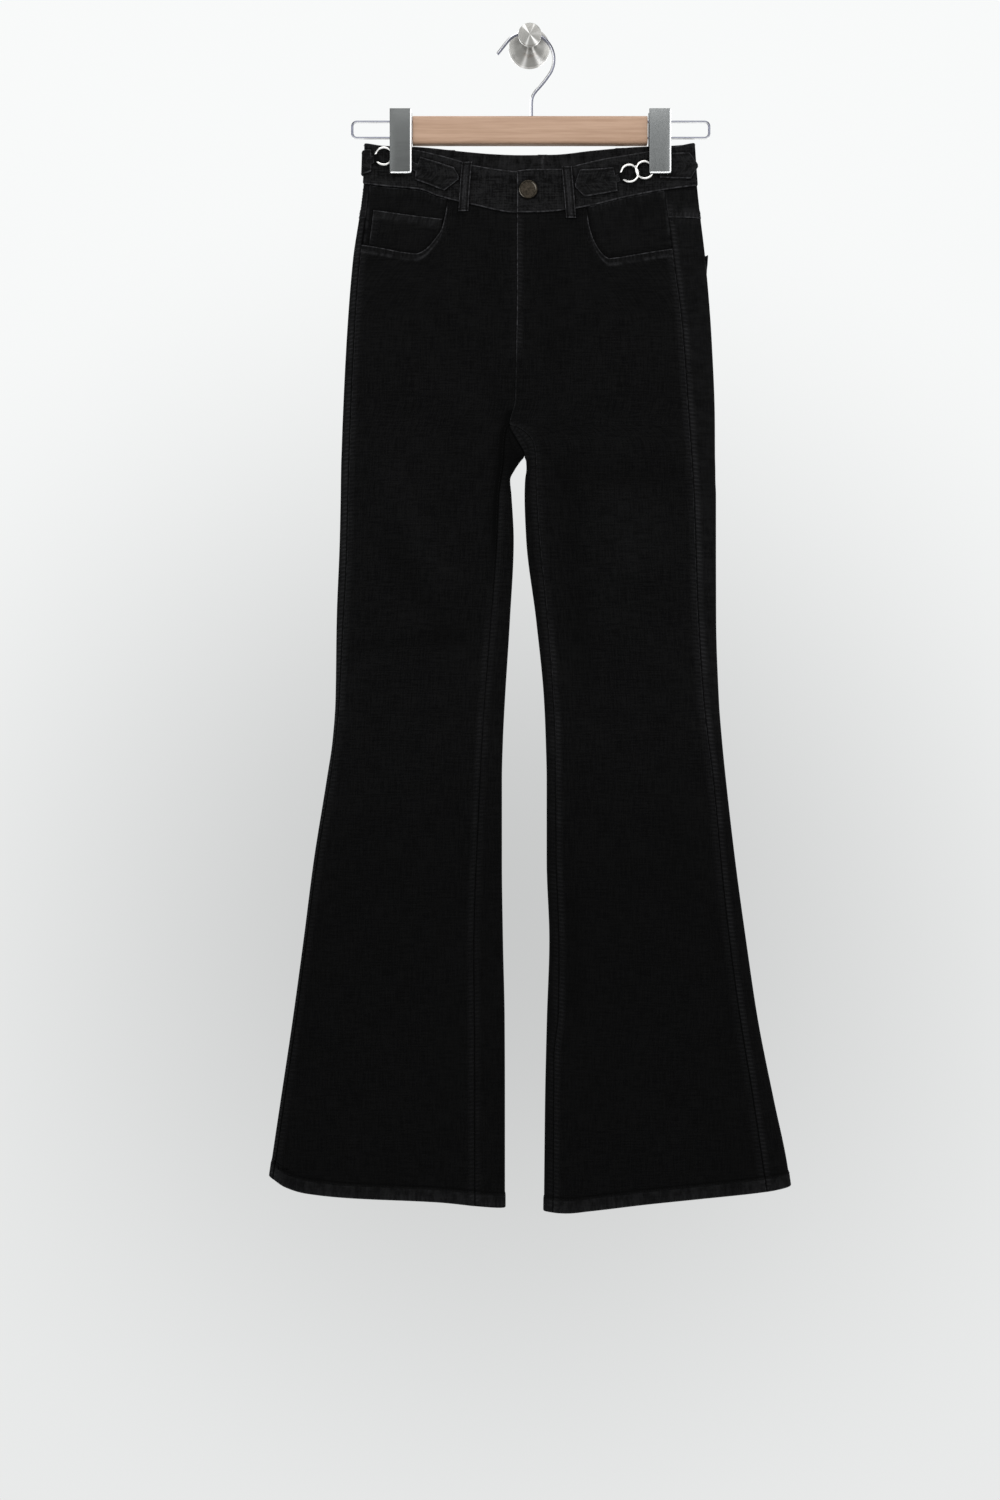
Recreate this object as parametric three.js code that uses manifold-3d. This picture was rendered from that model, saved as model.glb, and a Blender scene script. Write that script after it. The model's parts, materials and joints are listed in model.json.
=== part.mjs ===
// Flared five-pocket jeans that hang from a wooden clip hanger on a round wall hook.
// Millimetres, +Z up, +X to the right seen from the front, +Y towards the wall.
// The origin is the centre of the wall hook's back face. Right and left are the wearer's.
import * as THREE from "three";
import { mergeVertices } from "three/addons/utils/BufferGeometryUtils.js";
import Module from "manifold-3d";

const wasm = await Module();
wasm.setup();

// Driving sizes
const HANG_Y = -28; // middle plane of the hanger and of the cloth, in front of the wall
const CLOTH = 1.3; // one layer of denim
const BAND = 2.6; // waistband, folded denim
const BAND_PROUD = 0.9; // the waistband's outer face over the panels' outer face
const SEAM_GAP = 0.3;
const LAY_GAP = 0.35; // between a piece and the one it lies on
const HEM_HIGH = 16;
const HEM_PROUD = 0.7;
const CROTCH_Z = -441; // lowest point of the crotch seam
const FORK_Z = -409; // where the fly seam meets both inseams, in front
const BODY_BLEND = 90; // height over which two legs become one body
const FOLD_RADIUS = 4.2; // rounding of the side folds
const THIN_FOLD_RADIUS = 3.2; // the same at the waist, which the clips hold shut
const CLIP_X = [-136.3, 137.6];
const CLIP_WIDTH = 23;

// Outline of the hanging cloth: side folds and inner folds of the two legs
const RIGHT_LEG = [
  { z: -112, outer: -174.5, inner: -5.6 },
  { z: -149, outer: -175.8, inner: -5.6 },
  { z: -182, outer: -179.5, inner: -5.6 },
  { z: -233, outer: -187, inner: -5.6 },
  { z: -317, outer: -193.6, inner: -5.6 },
  { z: -402, outer: -197.8, inner: -5.6 },
  { z: -441, outer: -199.2, inner: -5.75 },
  { z: -446, outer: -199.4, inner: -9.5 },
  { z: -454, outer: -199.6, inner: -15 },
  { z: -466, outer: -199.8, inner: -20.6 },
  { z: -482, outer: -200, inner: -19.2 },
  { z: -530, outer: -201, inner: -16.8 },
  { z: -614, outer: -204.2, inner: -20.8 },
  { z: -699, outer: -205.4, inner: -26.1 },
  { z: -741, outer: -208.4, inner: -28.2 },
  { z: -784, outer: -214.8, inner: -29.3 },
  { z: -869, outer: -228.4, inner: -29.3 },
  { z: -953, outer: -239.2, inner: -28.2 },
  { z: -1038, outer: -250.8, inner: -26.4 },
  { z: -1123, outer: -263.5, inner: -26.1 },
  { z: -1187, outer: -273, inner: -26.1 },
  { z: -1245, outer: -281, inner: -26.1 },
];
const LEFT_LEG = [
  { z: -112, outer: 174.4, inner: -5.6 },
  { z: -149, outer: 177, inner: -5.6 },
  { z: -182, outer: 180.4, inner: -5.6 },
  { z: -233, outer: 186.4, inner: -5.6 },
  { z: -317, outer: 193, inner: -5.6 },
  { z: -402, outer: 196.4, inner: -5.6 },
  { z: -441, outer: 196.6, inner: -5.45 },
  { z: -446, outer: 196.7, inner: -3.8 },
  { z: -454, outer: 196.9, inner: -3.4 },
  { z: -466, outer: 197, inner: -4.9 },
  { z: -482, outer: 197.6, inner: -5.4 },
  { z: -530, outer: 197.6, inner: -3.6 },
  { z: -614, outer: 197.8, inner: 6.8 },
  { z: -699, outer: 200.7, inner: 15.2 },
  { z: -741, outer: 203.9, inner: 17 },
  { z: -784, outer: 208.2, inner: 18 },
  { z: -869, outer: 218, inner: 18 },
  { z: -953, outer: 229.4, inner: 20.8 },
  { z: -1038, outer: 242.1, inner: 18.2 },
  { z: -1123, outer: 259, inner: 16.3 },
  { z: -1187, outer: 272.5, inner: 15.6 },
  { z: -1245, outer: 281, inner: 15 },
];
// The crotch seam: in front from the fly to the fork and under, behind up the centre back
const CENTRE = [
  { z: -112, front: -13.5, back: 14 },
  { z: -280, front: -13.5, back: 13 },
  { z: -333, front: -14.5, back: 10.5 },
  { z: -383, front: -15.6, back: 6.5 },
  { z: -409, front: -21.4, back: 2 },
  { z: -424, front: -14, back: -1.5 },
  { z: -441, front: -5.6, back: -5.6 },
  { z: -445, front: -5.6, back: -5.6 },
];
// Half depth of the hanging cloth
const DEPTH = [
  { z: -112, half: 13 },
  { z: -180, half: 14.5 },
  { z: -260, half: 16.5 },
  { z: -340, half: 17 },
  { z: -441, half: 15.5 },
  { z: -600, half: 12.5 },
  { z: -760, half: 10 },
  { z: -960, half: 10.5 },
  { z: -1120, half: 11.5 },
  { z: -1245, half: 12.5 },
];
// The inseams run down the front of the legs, with the wider backs wrapped round to them
const RIGHT_INSEAM = [
  { z: -409, x: -21.6 },
  { z: -411.5, x: -24 },
  { z: -426, x: -26.8 },
  { z: -450, x: -28.3 },
  { z: -482, x: -32.5 },
  { z: -528, x: -34.6 },
  { z: -636, x: -43 },
  { z: -719, x: -49.3 },
  { z: -824, x: -54.6 },
  { z: -963, x: -59.3 },
  { z: -1076, x: -58.5 },
  { z: -1245, x: -58.3 },
];
const LEFT_INSEAM = [
  { z: -409, x: -21.2 },
  { z: -411.5, x: -12.5 },
  { z: -415, x: -6.5 },
  { z: -421, x: 0 },
  { z: -428, x: 4.2 },
  { z: -441, x: 6.4 },
  { z: -482, x: 7.6 },
  { z: -528, x: 10.4 },
  { z: -601, x: 17.7 },
  { z: -678, x: 23.9 },
  { z: -740, x: 27.1 },
  { z: -866, x: 28.2 },
  { z: -963, x: 31.2 },
  { z: -1030, x: 30.4 },
  { z: -1076, x: 25.8 },
  { z: -1245, x: 25 },
];
const RIGHT_OUTSEAM = [
  { z: -140, x: -169.5 },
  { z: -183, x: -173 },
  { z: -233, x: -179.5 },
  { z: -308, x: -185 },
  { z: -434, x: -190.4 },
  { z: -558, x: -193.8 },
  { z: -636, x: -198 },
  { z: -699, x: -201.2 },
  { z: -760, x: -207.4 },
  { z: -869, x: -224.6 },
  { z: -1038, x: -247 },
  { z: -1245, x: -277 },
];
const LEFT_OUTSEAM = [
  { z: -140, x: 140 },
  { z: -182, x: 145.5 },
  { z: -243, x: 152.8 },
  { z: -298, x: 160.1 },
  { z: -388, x: 166.8 },
  { z: -486, x: 173.2 },
  { z: -601, x: 177.3 },
  { z: -698, x: 183.5 },
  { z: -786, x: 194 },
  { z: -897, x: 204.4 },
  { z: -1014, x: 218.8 },
  { z: -1114, x: 234.6 },
  { z: -1245, x: 254 },
];
// Edges across the garment
const FRONT_TOP = [
  { x: -176, z: -114.5 },
  { x: -123, z: -116.8 },
  { x: -97, z: -122.6 },
  { x: -72.6, z: -130.5 },
  { x: -56.7, z: -135.8 },
  { x: -15.6, z: -141.2 },
  { x: 1.3, z: -139.5 },
  { x: 31.9, z: -139.5 },
  { x: 44.6, z: -136.5 },
  { x: 81.5, z: -126.9 },
  { x: 123.7, z: -118.9 },
  { x: 176, z: -114.5 },
];
const BACK_TOP = [
  { x: -176, z: -114.5 },
  { x: -124, z: -111.6 },
  { x: -70.8, z: -115 },
  { x: -8, z: -118.1 },
  { x: 26, z: -117.6 },
  { x: 66.6, z: -113.9 },
  { x: 125, z: -111.4 },
  { x: 176, z: -114.5 },
];
const FRONT_WAIST_SEAM = [
  { x: -182, z: -151.5 },
  { x: -156, z: -155 },
  { x: -116.8, z: -158.7 },
  { x: -96.8, z: -166.6 },
  { x: -59.9, z: -177.2 },
  { x: -15.6, z: -185.6 },
  { x: 8.7, z: -185.3 },
  { x: 38.2, z: -182.9 },
  { x: 63.5, z: -178.2 },
  { x: 105.7, z: -166.6 },
  { x: 142.6, z: -159.3 },
  { x: 182, z: -154 },
];
const BACK_WAIST_SEAM = [
  { x: -182, z: -151.5 },
  { x: -124, z: -152.5 },
  { x: -70, z: -157 },
  { x: 10, z: -160.5 },
  { x: 70, z: -157 },
  { x: 125, z: -152.5 },
  { x: 182, z: -154 },
];
const HEM = [
  { x: -281, z: -1204 },
  { x: -273.4, z: -1206.5 },
  { x: -237.7, z: -1219.6 },
  { x: -190.8, z: -1224.9 },
  { x: -96.2, z: -1229.4 },
  { x: -58.8, z: -1233.3 },
  { x: -28.2, z: -1236.5 },
  { x: 15, z: -1240.2 },
  { x: 36.8, z: -1241.4 },
  { x: 64.7, z: -1238.6 },
  { x: 121.7, z: -1231.8 },
  { x: 178.2, z: -1226 },
  { x: 249.4, z: -1218.6 },
  { x: 270.5, z: -1215.4 },
  { x: 281, z: -1213 },
];
// The curved mouth of each front pocket: share of the front's width from the centre, and heights
const POCKET_MOUTH = [
  { share: 0.472, right: -186, left: -199 },
  { share: 0.492, right: -202.5, left: -212.5 },
  { share: 0.535, right: -214.5, left: -226.7 },
  { share: 0.585, right: -224.5, left: -234 },
  { share: 0.64, right: -228.8, left: -233.2 },
  { share: 0.735, right: -227, left: -230.6 },
  { share: 0.87, right: -222.3, left: -226.7 },
  { share: 1, right: -218, left: -223.4 },
];
const MOUTH_START = 0.46; // share where the mouth leaves the waist seam
// The largest folds, each a soft ridge or trough from one end to the other
const FOLDS = [
  { face: "front", x0: 37, z0: -445, x1: 62, z1: -690, width: 13, rise: -3.2 },
  { face: "front", x0: 24, z0: -205, x1: 26, z1: -400, width: 12, rise: -1.8 },
  { face: "front", x0: 100, z0: -480, x1: 106, z1: -570, width: 34, rise: 2.6 },
  { face: "front", x0: 30, z0: -462, x1: 165, z1: -468, width: 16, rise: -2.2 },
  { face: "front", x0: -158, z0: -525, x1: -80, z1: -640, width: 15, rise: -3 },
  { face: "front", x0: -158, z0: -440, x1: -88, z1: -585, width: 15, rise: 2.2 },
  { face: "front", x0: -188, z0: -645, x1: -76, z1: -634, width: 9, rise: -2.6 },
  { face: "front", x0: 44, z0: -905, x1: 50, z1: -1030, width: 11, rise: -2.6 },
  { face: "front", x0: -50, z0: -350, x1: -26, z1: -402, width: 12, rise: -1.8 },
  { face: "back", x0: -40, z0: -440, x1: -74, z1: -660, width: 15, rise: -3 },
  { face: "back", x0: 46, z0: -430, x1: 84, z1: -640, width: 14, rise: -3 },
  { face: "back", x0: -30, z0: -400, x1: -120, z1: -452, width: 14, rise: -2.6 },
  { face: "back", x0: 30, z0: -396, x1: 128, z1: -448, width: 15, rise: -2.6 },
  { face: "back", x0: 60, z0: -700, x1: 170, z1: -716, width: 11, rise: -2.2 },
  { face: "back", x0: -176, z0: -712, x1: -62, z1: -700, width: 11, rise: -2.2 },
  { face: "back", x0: -92, z0: -860, x1: -104, z1: -1060, width: 18, rise: -2.4 },
  { face: "back", x0: 130, z0: -900, x1: 148, z1: -1090, width: 18, rise: -2.4 },
];

const clamp = (v, lo, hi) => Math.min(hi, Math.max(lo, v));
const mix = (a, b, t) => a + (b - a) * t;
const ease = (t) => { const s = clamp(t, 0, 1); return s * s * (3 - 2 * s); };

// A smooth curve through one column of a table, with no overshoot between its rows
function readTable(table, along, key, at) {
  const rising = table[1][along] > table[0][along];
  const rows = rising ? table : [...table].reverse();
  const last = rows.length - 1;
  const where = clamp(at, rows[0][along], rows[last][along]);
  let i = 0;
  while (i < last - 1 && rows[i + 1][along] < where) i++;
  const slope = (k) => (rows[k + 1][key] - rows[k][key]) / (rows[k + 1][along] - rows[k][along]);
  const bend = (k) => {
    if (k === 0) return slope(0);
    if (k === last) return slope(last - 1);
    const a = slope(k - 1);
    const b = slope(k);
    return a * b <= 0 ? 0 : (2 * a * b) / (a + b);
  };
  const span = rows[i + 1][along] - rows[i][along];
  const t = (where - rows[i][along]) / span;
  const h = t * t * (3 - 2 * t);
  return mix(rows[i][key], rows[i + 1][key], h)
    + span * (t * (1 - t) * (1 - t) * bend(i) - t * t * (1 - t) * bend(i + 1));
}
const atHeight = (table, key, z) => readTable(table, "z", key, z);
const acrossEdge = (table, x) => readTable(table, "x", "z", x);

// One half of the garment, from its centre line or inner fold to its side fold
const HALVES = {
  right: { leg: RIGHT_LEG, inseam: RIGHT_INSEAM, outseam: RIGHT_OUTSEAM, side: -1 },
  left: { leg: LEFT_LEG, inseam: LEFT_INSEAM, outseam: LEFT_OUTSEAM, side: 1 },
};

const outerX = (half, z) => atHeight(HALVES[half].leg, "outer", z);
const innerX = (half, face, z) =>
  z > CROTCH_Z ? atHeight(CENTRE, face, z) : atHeight(HALVES[half].leg, "inner", z);
// 0 in the legs, 1 where the two are one body; its root is a quarter circle under the crotch
function bodyShare(z) {
  const t = clamp((z - CROTCH_Z) / BODY_BLEND, 0, 1);
  return t * (2 - t);
}

// How far a fold lifts the cloth at a place
function foldLift(fold, x, z) {
  const length = Math.hypot(fold.x1 - fold.x0, fold.z1 - fold.z0);
  const ux = (fold.x1 - fold.x0) / length;
  const uz = (fold.z1 - fold.z0) / length;
  const along = (x - fold.x0) * ux + (z - fold.z0) * uz;
  const off = (x - fold.x0) * uz - (z - fold.z0) * ux;
  const ends = ease(along / (0.3 * length) + 0.5) * ease((length - along) / (0.3 * length) + 0.5);
  return fold.rise * ends * Math.exp(-((off / fold.width) ** 2));
}

// The clips hold the waist shut at both sides, and it bows open between them
function clipPinch(x, z) {
  const nearSide = ease((Math.abs(x) - 42) / 82);
  const nearTop = 1 - ease((-146 - z) / 95);
  return 1 - 0.71 * nearSide * nearTop;
}
function halfDepth(face, x, z) {
  const folds = FOLDS.filter((f) => f.face === face).reduce((sum, f) => sum + foldLift(f, x, z), 0);
  return atHeight(DEPTH, "half", z) * clipPinch(x, z) + folds;
}
const foldRadius = (z) => mix(THIN_FOLD_RADIUS, FOLD_RADIUS, ease((-150 - z) / 120));

// Squared share of the half depth at a place across the section, below 0 outside it
function sectionSquare(half, face, x, z) {
  const inner = innerX(half, face, z);
  const outer = outerX(half, z);
  const side = HALVES[half].side;
  const width = Math.abs(outer - inner);
  const depth = atHeight(DEPTH, "half", z) * clipPinch(outer, z);
  const share = ((x - inner) * side) / width;
  const blunt = Math.max(2.4, (2 * width * foldRadius(z)) / depth ** 2);
  const legBlunt = Math.max(2.4, blunt / 2);
  const leg = 1 - Math.abs(2 * share - 1) ** legBlunt;
  const body = 1 - Math.abs(share) ** blunt;
  return mix(leg, body, bodyShare(z));
}

// A point of the cloth's outer face and its normal
function skin(half, face, x, z) {
  const toWall = face === "front" ? -1 : 1;
  const square = (px, pz) => sectionSquare(half, face, px, pz);
  const out = halfDepth(face, x, z) * Math.sqrt(Math.max(0, square(x, z)));
  const level = (px, py, pz) => ((py - HANG_Y) / halfDepth(face, px, pz)) ** 2 - square(px, pz);
  const y = HANG_Y + toWall * out;
  const d = 0.05;
  const gradient = new THREE.Vector3(
    level(x + d, y, z) - level(x - d, y, z),
    level(x, y + d, z) - level(x, y - d, z),
    level(x, y, z + d) - level(x, y, z - d),
  );
  const onCentre = z > CROTCH_Z - 0.01 && Math.abs(x - innerX(half, face, z)) < 1;
  if (onCentre) gradient.x = 0;
  if (onCentre && z < CROTCH_Z + 0.01) gradient.set(0, 0, -1);
  return { p: new THREE.Vector3(x, y, z), n: gradient.normalize() };
}

// Closed wall between an outer face and the same face moved in, from points and quads
function wallOf(points, quads, thickness) {
  const vertices = [];
  const count = points.length;
  for (const { p, n, lift = 0 } of points) vertices.push(p.clone().addScaledVector(n, lift));
  for (const { p, n, lift = 0, thick = thickness } of points) {
    vertices.push(p.clone().addScaledVector(n, lift - thick));
  }
  const triangles = [];
  const edges = new Map();
  const add = (a, b, c) => {
    if (a === b || b === c || c === a) return;
    triangles.push([a, b, c], [count + a, count + c, count + b]);
    for (const [i, j] of [[a, b], [b, c], [c, a]]) edges.set(i + "_" + j, [i, j]);
  };
  for (const [a, b, c, d] of quads) {
    add(a, b, c);
    add(a, c, d);
  }
  for (const [i, j] of edges.values()) {
    if (edges.has(j + "_" + i)) continue;
    triangles.push([j, i, count + i], [j, count + i, count + j]);
  }
  return closedGeometry(vertices, triangles);
}

// Geometry from points and triangles, turned so that its faces point out
function closedGeometry(vertices, triangles) {
  const volume = triangles.reduce((sum, [a, b, c]) =>
    sum + vertices[a].dot(new THREE.Vector3().crossVectors(vertices[b], vertices[c])), 0);
  const order = volume < 0 ? triangles.map(([a, b, c]) => [a, c, b]) : triangles;
  const geometry = new THREE.BufferGeometry();
  geometry.setAttribute("position", new THREE.Float32BufferAttribute(vertices.flatMap((v) => v.toArray()), 3));
  geometry.setIndex(order.flat());
  geometry.computeVertexNormals();
  return geometry;
}

// A rectangular grid of wall points, one function of column and row
function gridWall(columns, rows, pointAt, thickness) {
  const points = [];
  const quads = [];
  for (let r = 0; r < rows; r++) {
    for (let c = 0; c < columns; c++) points.push(pointAt(c, r));
  }
  for (let r = 0; r < rows - 1; r++) {
    for (let c = 0; c < columns - 1; c++) {
      const a = r * columns + c;
      quads.push([a, a + 1, a + columns + 1, a + columns]);
    }
  }
  return wallOf(points, quads, thickness);
}

// Rows of a panel below its curved top edge, down to its curved hem
const LEVELS = [
  -300, -350, -392, FORK_Z, -411.5, -416, -422, -430, CROTCH_Z, -446, -454, -466, -482, -512,
  -555, -605, -628, -641, -660, -700, -750, -810, -880, -950, -1020, -1090, -1155,
];
const TOP_ROWS = 3; // rows between the curved top edge and the first level
const HEM_Z = -1225; // a mean height of the hem, where its place across is read

function rowHeights(topZ, hemZ) {
  const top = Array.from({ length: TOP_ROWS }, (_, i) => mix(topZ, LEVELS[0], i / TOP_ROWS));
  return [...top, ...LEVELS, hemZ + HEM_HIGH + 1.5, hemZ + HEM_HIGH, hemZ];
}
// The hem is turned up, so it stands out on both faces
function withHem(point, row, rows) {
  return row >= rows - 2 ? { ...point, lift: HEM_PROUD, thick: CLOTH + 2 * HEM_PROUD } : point;
}

// Height at which a station, given as a function of height, meets an edge
function meets(stationAt, edgeZ, from) {
  let z = from;
  for (let i = 0; i < 5; i++) z = edgeZ(stationAt(z));
  return z;
}

const FRONT_SHARES = [
  0, 0.07, 0.18, 0.3, 0.4, MOUTH_START, 0.472, 0.492, 0.535, 0.585, 0.64, 0.735, 0.87, 0.945, 1,
];
const innerSeamX = (half, z) =>
  z > FORK_Z ? atHeight(CENTRE, "front", z) : atHeight(HALVES[half].inseam, "x", z);
const outseamX = (half, z) => atHeight(HALVES[half].outseam, "x", z);

function frontX(half, share, z) {
  const side = HALVES[half].side;
  return mix(innerSeamX(half, z) + side * SEAM_GAP / 2, outseamX(half, z) - side * SEAM_GAP / 2, share);
}
const frontPoint = (half, share, z) => skin(half, "front", frontX(half, share, z), z);
const frontSeamZ = (half, share) => meets((z) => frontX(half, share, z), (x) => acrossEdge(FRONT_WAIST_SEAM, x), -170);
const mouthZ = (half, share) => readTable(POCKET_MOUTH, "share", half, share);

function frontPanel(half) {
  const heights = FRONT_SHARES.map((share) => {
    const topZ = share > MOUTH_START ? mouthZ(half, share) : frontSeamZ(half, share) - SEAM_GAP / 2;
    return rowHeights(topZ, acrossEdge(HEM, frontX(half, share, HEM_Z)));
  });
  const rows = heights[0].length;
  const pointAt = (c, r) => withHem(frontPoint(half, FRONT_SHARES[c], heights[c][r]), r, rows);
  return gridWall(FRONT_SHARES.length, rows, pointAt, CLOTH);
}

// Stations across a back: from the outseam round the side fold, along the back to the centre or
// the inner fold, and on to the inseam in front
const STRIP_SHARES = [1, 0.6, 0.28, 0.07];
const FOLD_STEPS = [1.3, 5, 13, 28];
const BACK_SHARES = [0.2, 0.4, 0.6, 0.8];
const FOLD_COLUMN = STRIP_SHARES.length;
const CENTRE_COLUMN = 2 * STRIP_SHARES.length + 1 + FOLD_STEPS.length + BACK_SHARES.length;
const BACK_COLUMNS = CENTRE_COLUMN + 1 + STRIP_SHARES.length;

function backStation(half, column, z, tongue) {
  const side = HALVES[half].side;
  const outer = outerX(half, z);
  const face = tongue ? "front" : "back";
  const gap = z > CROTCH_Z ? side * SEAM_GAP / 2 : 0;
  const inner = innerX(half, face, z) + gap;
  if (column < FOLD_COLUMN) {
    const strip = outer - (outseamX(half, z) + side * SEAM_GAP / 2);
    return { face: "front", x: outer - strip * STRIP_SHARES[column] };
  }
  if (column === FOLD_COLUMN) return { face: "back", x: outer };
  let i = column - FOLD_COLUMN - 1;
  if (i < FOLD_STEPS.length) return { face: "back", x: outer - side * FOLD_STEPS[i] };
  i -= FOLD_STEPS.length;
  const last = FOLD_STEPS.at(-1);
  const from = outer - side * last;
  const to = inner + side * last;
  if (i < BACK_SHARES.length) return { face: "back", x: mix(from, to, BACK_SHARES[i]) };
  i -= BACK_SHARES.length;
  if (i < FOLD_STEPS.length) return { face: "back", x: inner + side * FOLD_STEPS.at(-1 - i) };
  if (column === CENTRE_COLUMN) return { face, x: inner };
  const strip = innerSeamX(half, z) - side * SEAM_GAP / 2 - inner;
  return { face: "front", x: inner + strip * STRIP_SHARES.at(CENTRE_COLUMN - column) };
}
function stationPoint(half, column, z, tongue) {
  const { face, x } = backStation(half, column, z, tongue);
  return skin(half, face, x, z);
}

// The yoke seam falls from the side to the centre back
const YOKE_SIDE_Z = -189.5;
const YOKE_CENTRE_Z = -236;
function yokeSeamZ(half, column) {
  const reference = -200;
  const start = backStation(half, 0, reference).x;
  const outer = outerX(half, reference);
  const centre = innerX(half, "back", reference);
  const { face, x } = backStation(half, column, reference);
  const gone = face === "front" ? Math.abs(x - start) : Math.abs(outer - start) + Math.abs(outer - x);
  const whole = Math.abs(outer - start) + Math.abs(outer - centre);
  return mix(YOKE_SIDE_Z, YOKE_CENTRE_Z, gone / whole);
}

function backPanel(half) {
  const points = [];
  const quads = [];
  const index = new Map();
  const columns = Array.from({ length: BACK_COLUMNS }, (_, c) => c);
  const heights = columns.map((c) => {
    const station = backStation(half, c, HEM_Z);
    const topZ = c <= CENTRE_COLUMN ? yokeSeamZ(half, c) - SEAM_GAP / 2 : LEVELS[0];
    return rowHeights(topZ, acrossEdge(HEM, station.x));
  });
  const rows = heights[0].length;
  // In front, between the fork and the crotch, the back ends in a tongue along the crotch seam
  const vertex = (c, r, tongue) => {
    const z = heights[c][r];
    const apart = tongue && z > CROTCH_Z;
    const key = c + "_" + r + (apart ? "_tongue" : "");
    if (!index.has(key)) {
      index.set(key, points.length);
      points.push(withHem(stationPoint(half, c, z, apart), r, rows));
    }
    return index.get(key);
  };
  for (let r = 0; r < rows - 1; r++) {
    for (let c = 0; c < BACK_COLUMNS - 1; c++) {
      const tongue = c >= CENTRE_COLUMN;
      if (tongue && heights[c][r] > FORK_Z - 1) continue;
      quads.push([
        vertex(c, r, tongue), vertex(c + 1, r, tongue), vertex(c + 1, r + 1, tongue), vertex(c, r + 1, tongue),
      ]);
    }
  }
  return wallOf(points, quads, CLOTH);
}

const waistSeamZ = (face, x) => acrossEdge(face === "front" ? FRONT_WAIST_SEAM : BACK_WAIST_SEAM, x);
const waistTopZ = (face, x) => acrossEdge(face === "front" ? FRONT_TOP : BACK_TOP, x);

function yoke(half) {
  const shares = [0, 0.5, 1];
  const pointAt = (c, r) => {
    const seam = meets((z) => backStation(half, c, z), ({ face, x }) => waistSeamZ(face, x), -160);
    const z = mix(seam - SEAM_GAP / 2, yokeSeamZ(half, c) + SEAM_GAP / 2, shares[r]);
    return stationPoint(half, c, z);
  };
  return gridWall(CENTRE_COLUMN + 1, shares.length, pointAt, CLOTH);
}

// Waistband: the wearer's left end laps over the right one in front
const LAP_END = 15; // where the right half ends, under the left
const LAP_FROM = -24;
const LAP_TO = -16;
const LAP_COLUMNS = [LAP_END, 3, -9, LAP_TO, -20, LAP_FROM];
const BAND_FRONT_STEPS = [26, 12, 4, 1];
const BAND_ROWS = [0, 0.36, 0.72, 1];

function bandStations(half, z) {
  const side = HALVES[half].side;
  const outer = outerX(half, z);
  const start = half === "right" ? LAP_FROM : atHeight(CENTRE, "front", z);
  const end = innerX(half, "back", z) + side * SEAM_GAP / 2;
  const front = [];
  const spans = 9;
  const near = outer - side * BAND_FRONT_STEPS[0];
  for (let i = half === "right" ? 1 : 0; i < spans; i++) front.push(mix(start, near, i / spans));
  for (const step of BAND_FRONT_STEPS) front.push(outer - side * step);
  if (half === "right") front.unshift(...LAP_COLUMNS);
  const back = [outer, ...FOLD_STEPS.map((step) => outer - side * step)];
  for (let i = 1; i <= spans; i++) back.push(mix(outer - side * FOLD_STEPS.at(-1), end, i / spans));
  return [...front.map((x) => ({ face: "front", x })), ...back.map((x) => ({ face: "back", x }))];
}
function waistband(half) {
  const columns = bandStations(half, -150).length;
  const pointAt = (c, r) => {
    const stationAt = (z) => bandStations(half, z)[c];
    const seam = meets(stationAt, ({ face, x }) => waistSeamZ(face, x), -160);
    const top = meets(stationAt, ({ face, x }) => waistTopZ(face, x), -120);
    const z = mix(seam + SEAM_GAP / 2, top, BAND_ROWS[r]);
    const { face, x } = stationAt(z);
    const lapped = half === "right" && face === "front" ? ease((x - LAP_FROM) / (LAP_TO - LAP_FROM)) : 0;
    return { ...skin(half, face, x, z), lift: BAND_PROUD - lapped * (BAND + LAY_GAP) };
  };
  return gridWall(columns, BAND_ROWS.length, pointAt, BAND);
}

// Pocket facings lie behind the fronts' pocket mouths
const COIN_CLOTH = 0.9;
const INNER_GAP = 0.6; // between a front and what lies behind it
const FACING = {
  right: { lift: -CLOTH - INNER_GAP - COIN_CLOTH - LAY_GAP, thick: 1 },
  left: { lift: -CLOTH - INNER_GAP, thick: 1 },
};
const FACING_SHARES = [0.425, 0.46, 0.492, 0.535, 0.585, 0.64, 0.735, 0.87, 0.945, 0.985];
const FACING_UNDER = 14; // how far it runs on below the mouth

function pocketFacing(half) {
  const { lift, thick } = FACING[half];
  const rows = [0, 0.3, 0.55, 0.8, 1];
  const pointAt = (c, r) => {
    const share = FACING_SHARES[c];
    const top = frontSeamZ(half, share) - SEAM_GAP;
    const bottom = mouthZ(half, Math.max(share, 0.535)) - FACING_UNDER;
    return { ...frontPoint(half, share, mix(top, bottom, rows[r])), lift };
  };
  return gridWall(FACING_SHARES.length, rows.length, pointAt, thick);
}
const COIN = { sideTop: -180.5, innerTop: -191, bottom: -240 };
const COIN_SHARES = [0.955, 0.87, 0.735, 0.64, 0.585, 0.535, 0.49];
function coinPocket() {
  const rows = 4;
  const pointAt = (c, r) => {
    const share = COIN_SHARES[c];
    const across = (COIN_SHARES[0] - share) / (COIN_SHARES[0] - COIN_SHARES.at(-1));
    const z = mix(mix(COIN.sideTop, COIN.innerTop, across), COIN.bottom, r / (rows - 1));
    return { ...frontPoint("right", share, z), lift: -CLOTH - INNER_GAP };
  };
  return gridWall(COIN_SHARES.length, rows, pointAt, COIN_CLOTH);
}

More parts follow.
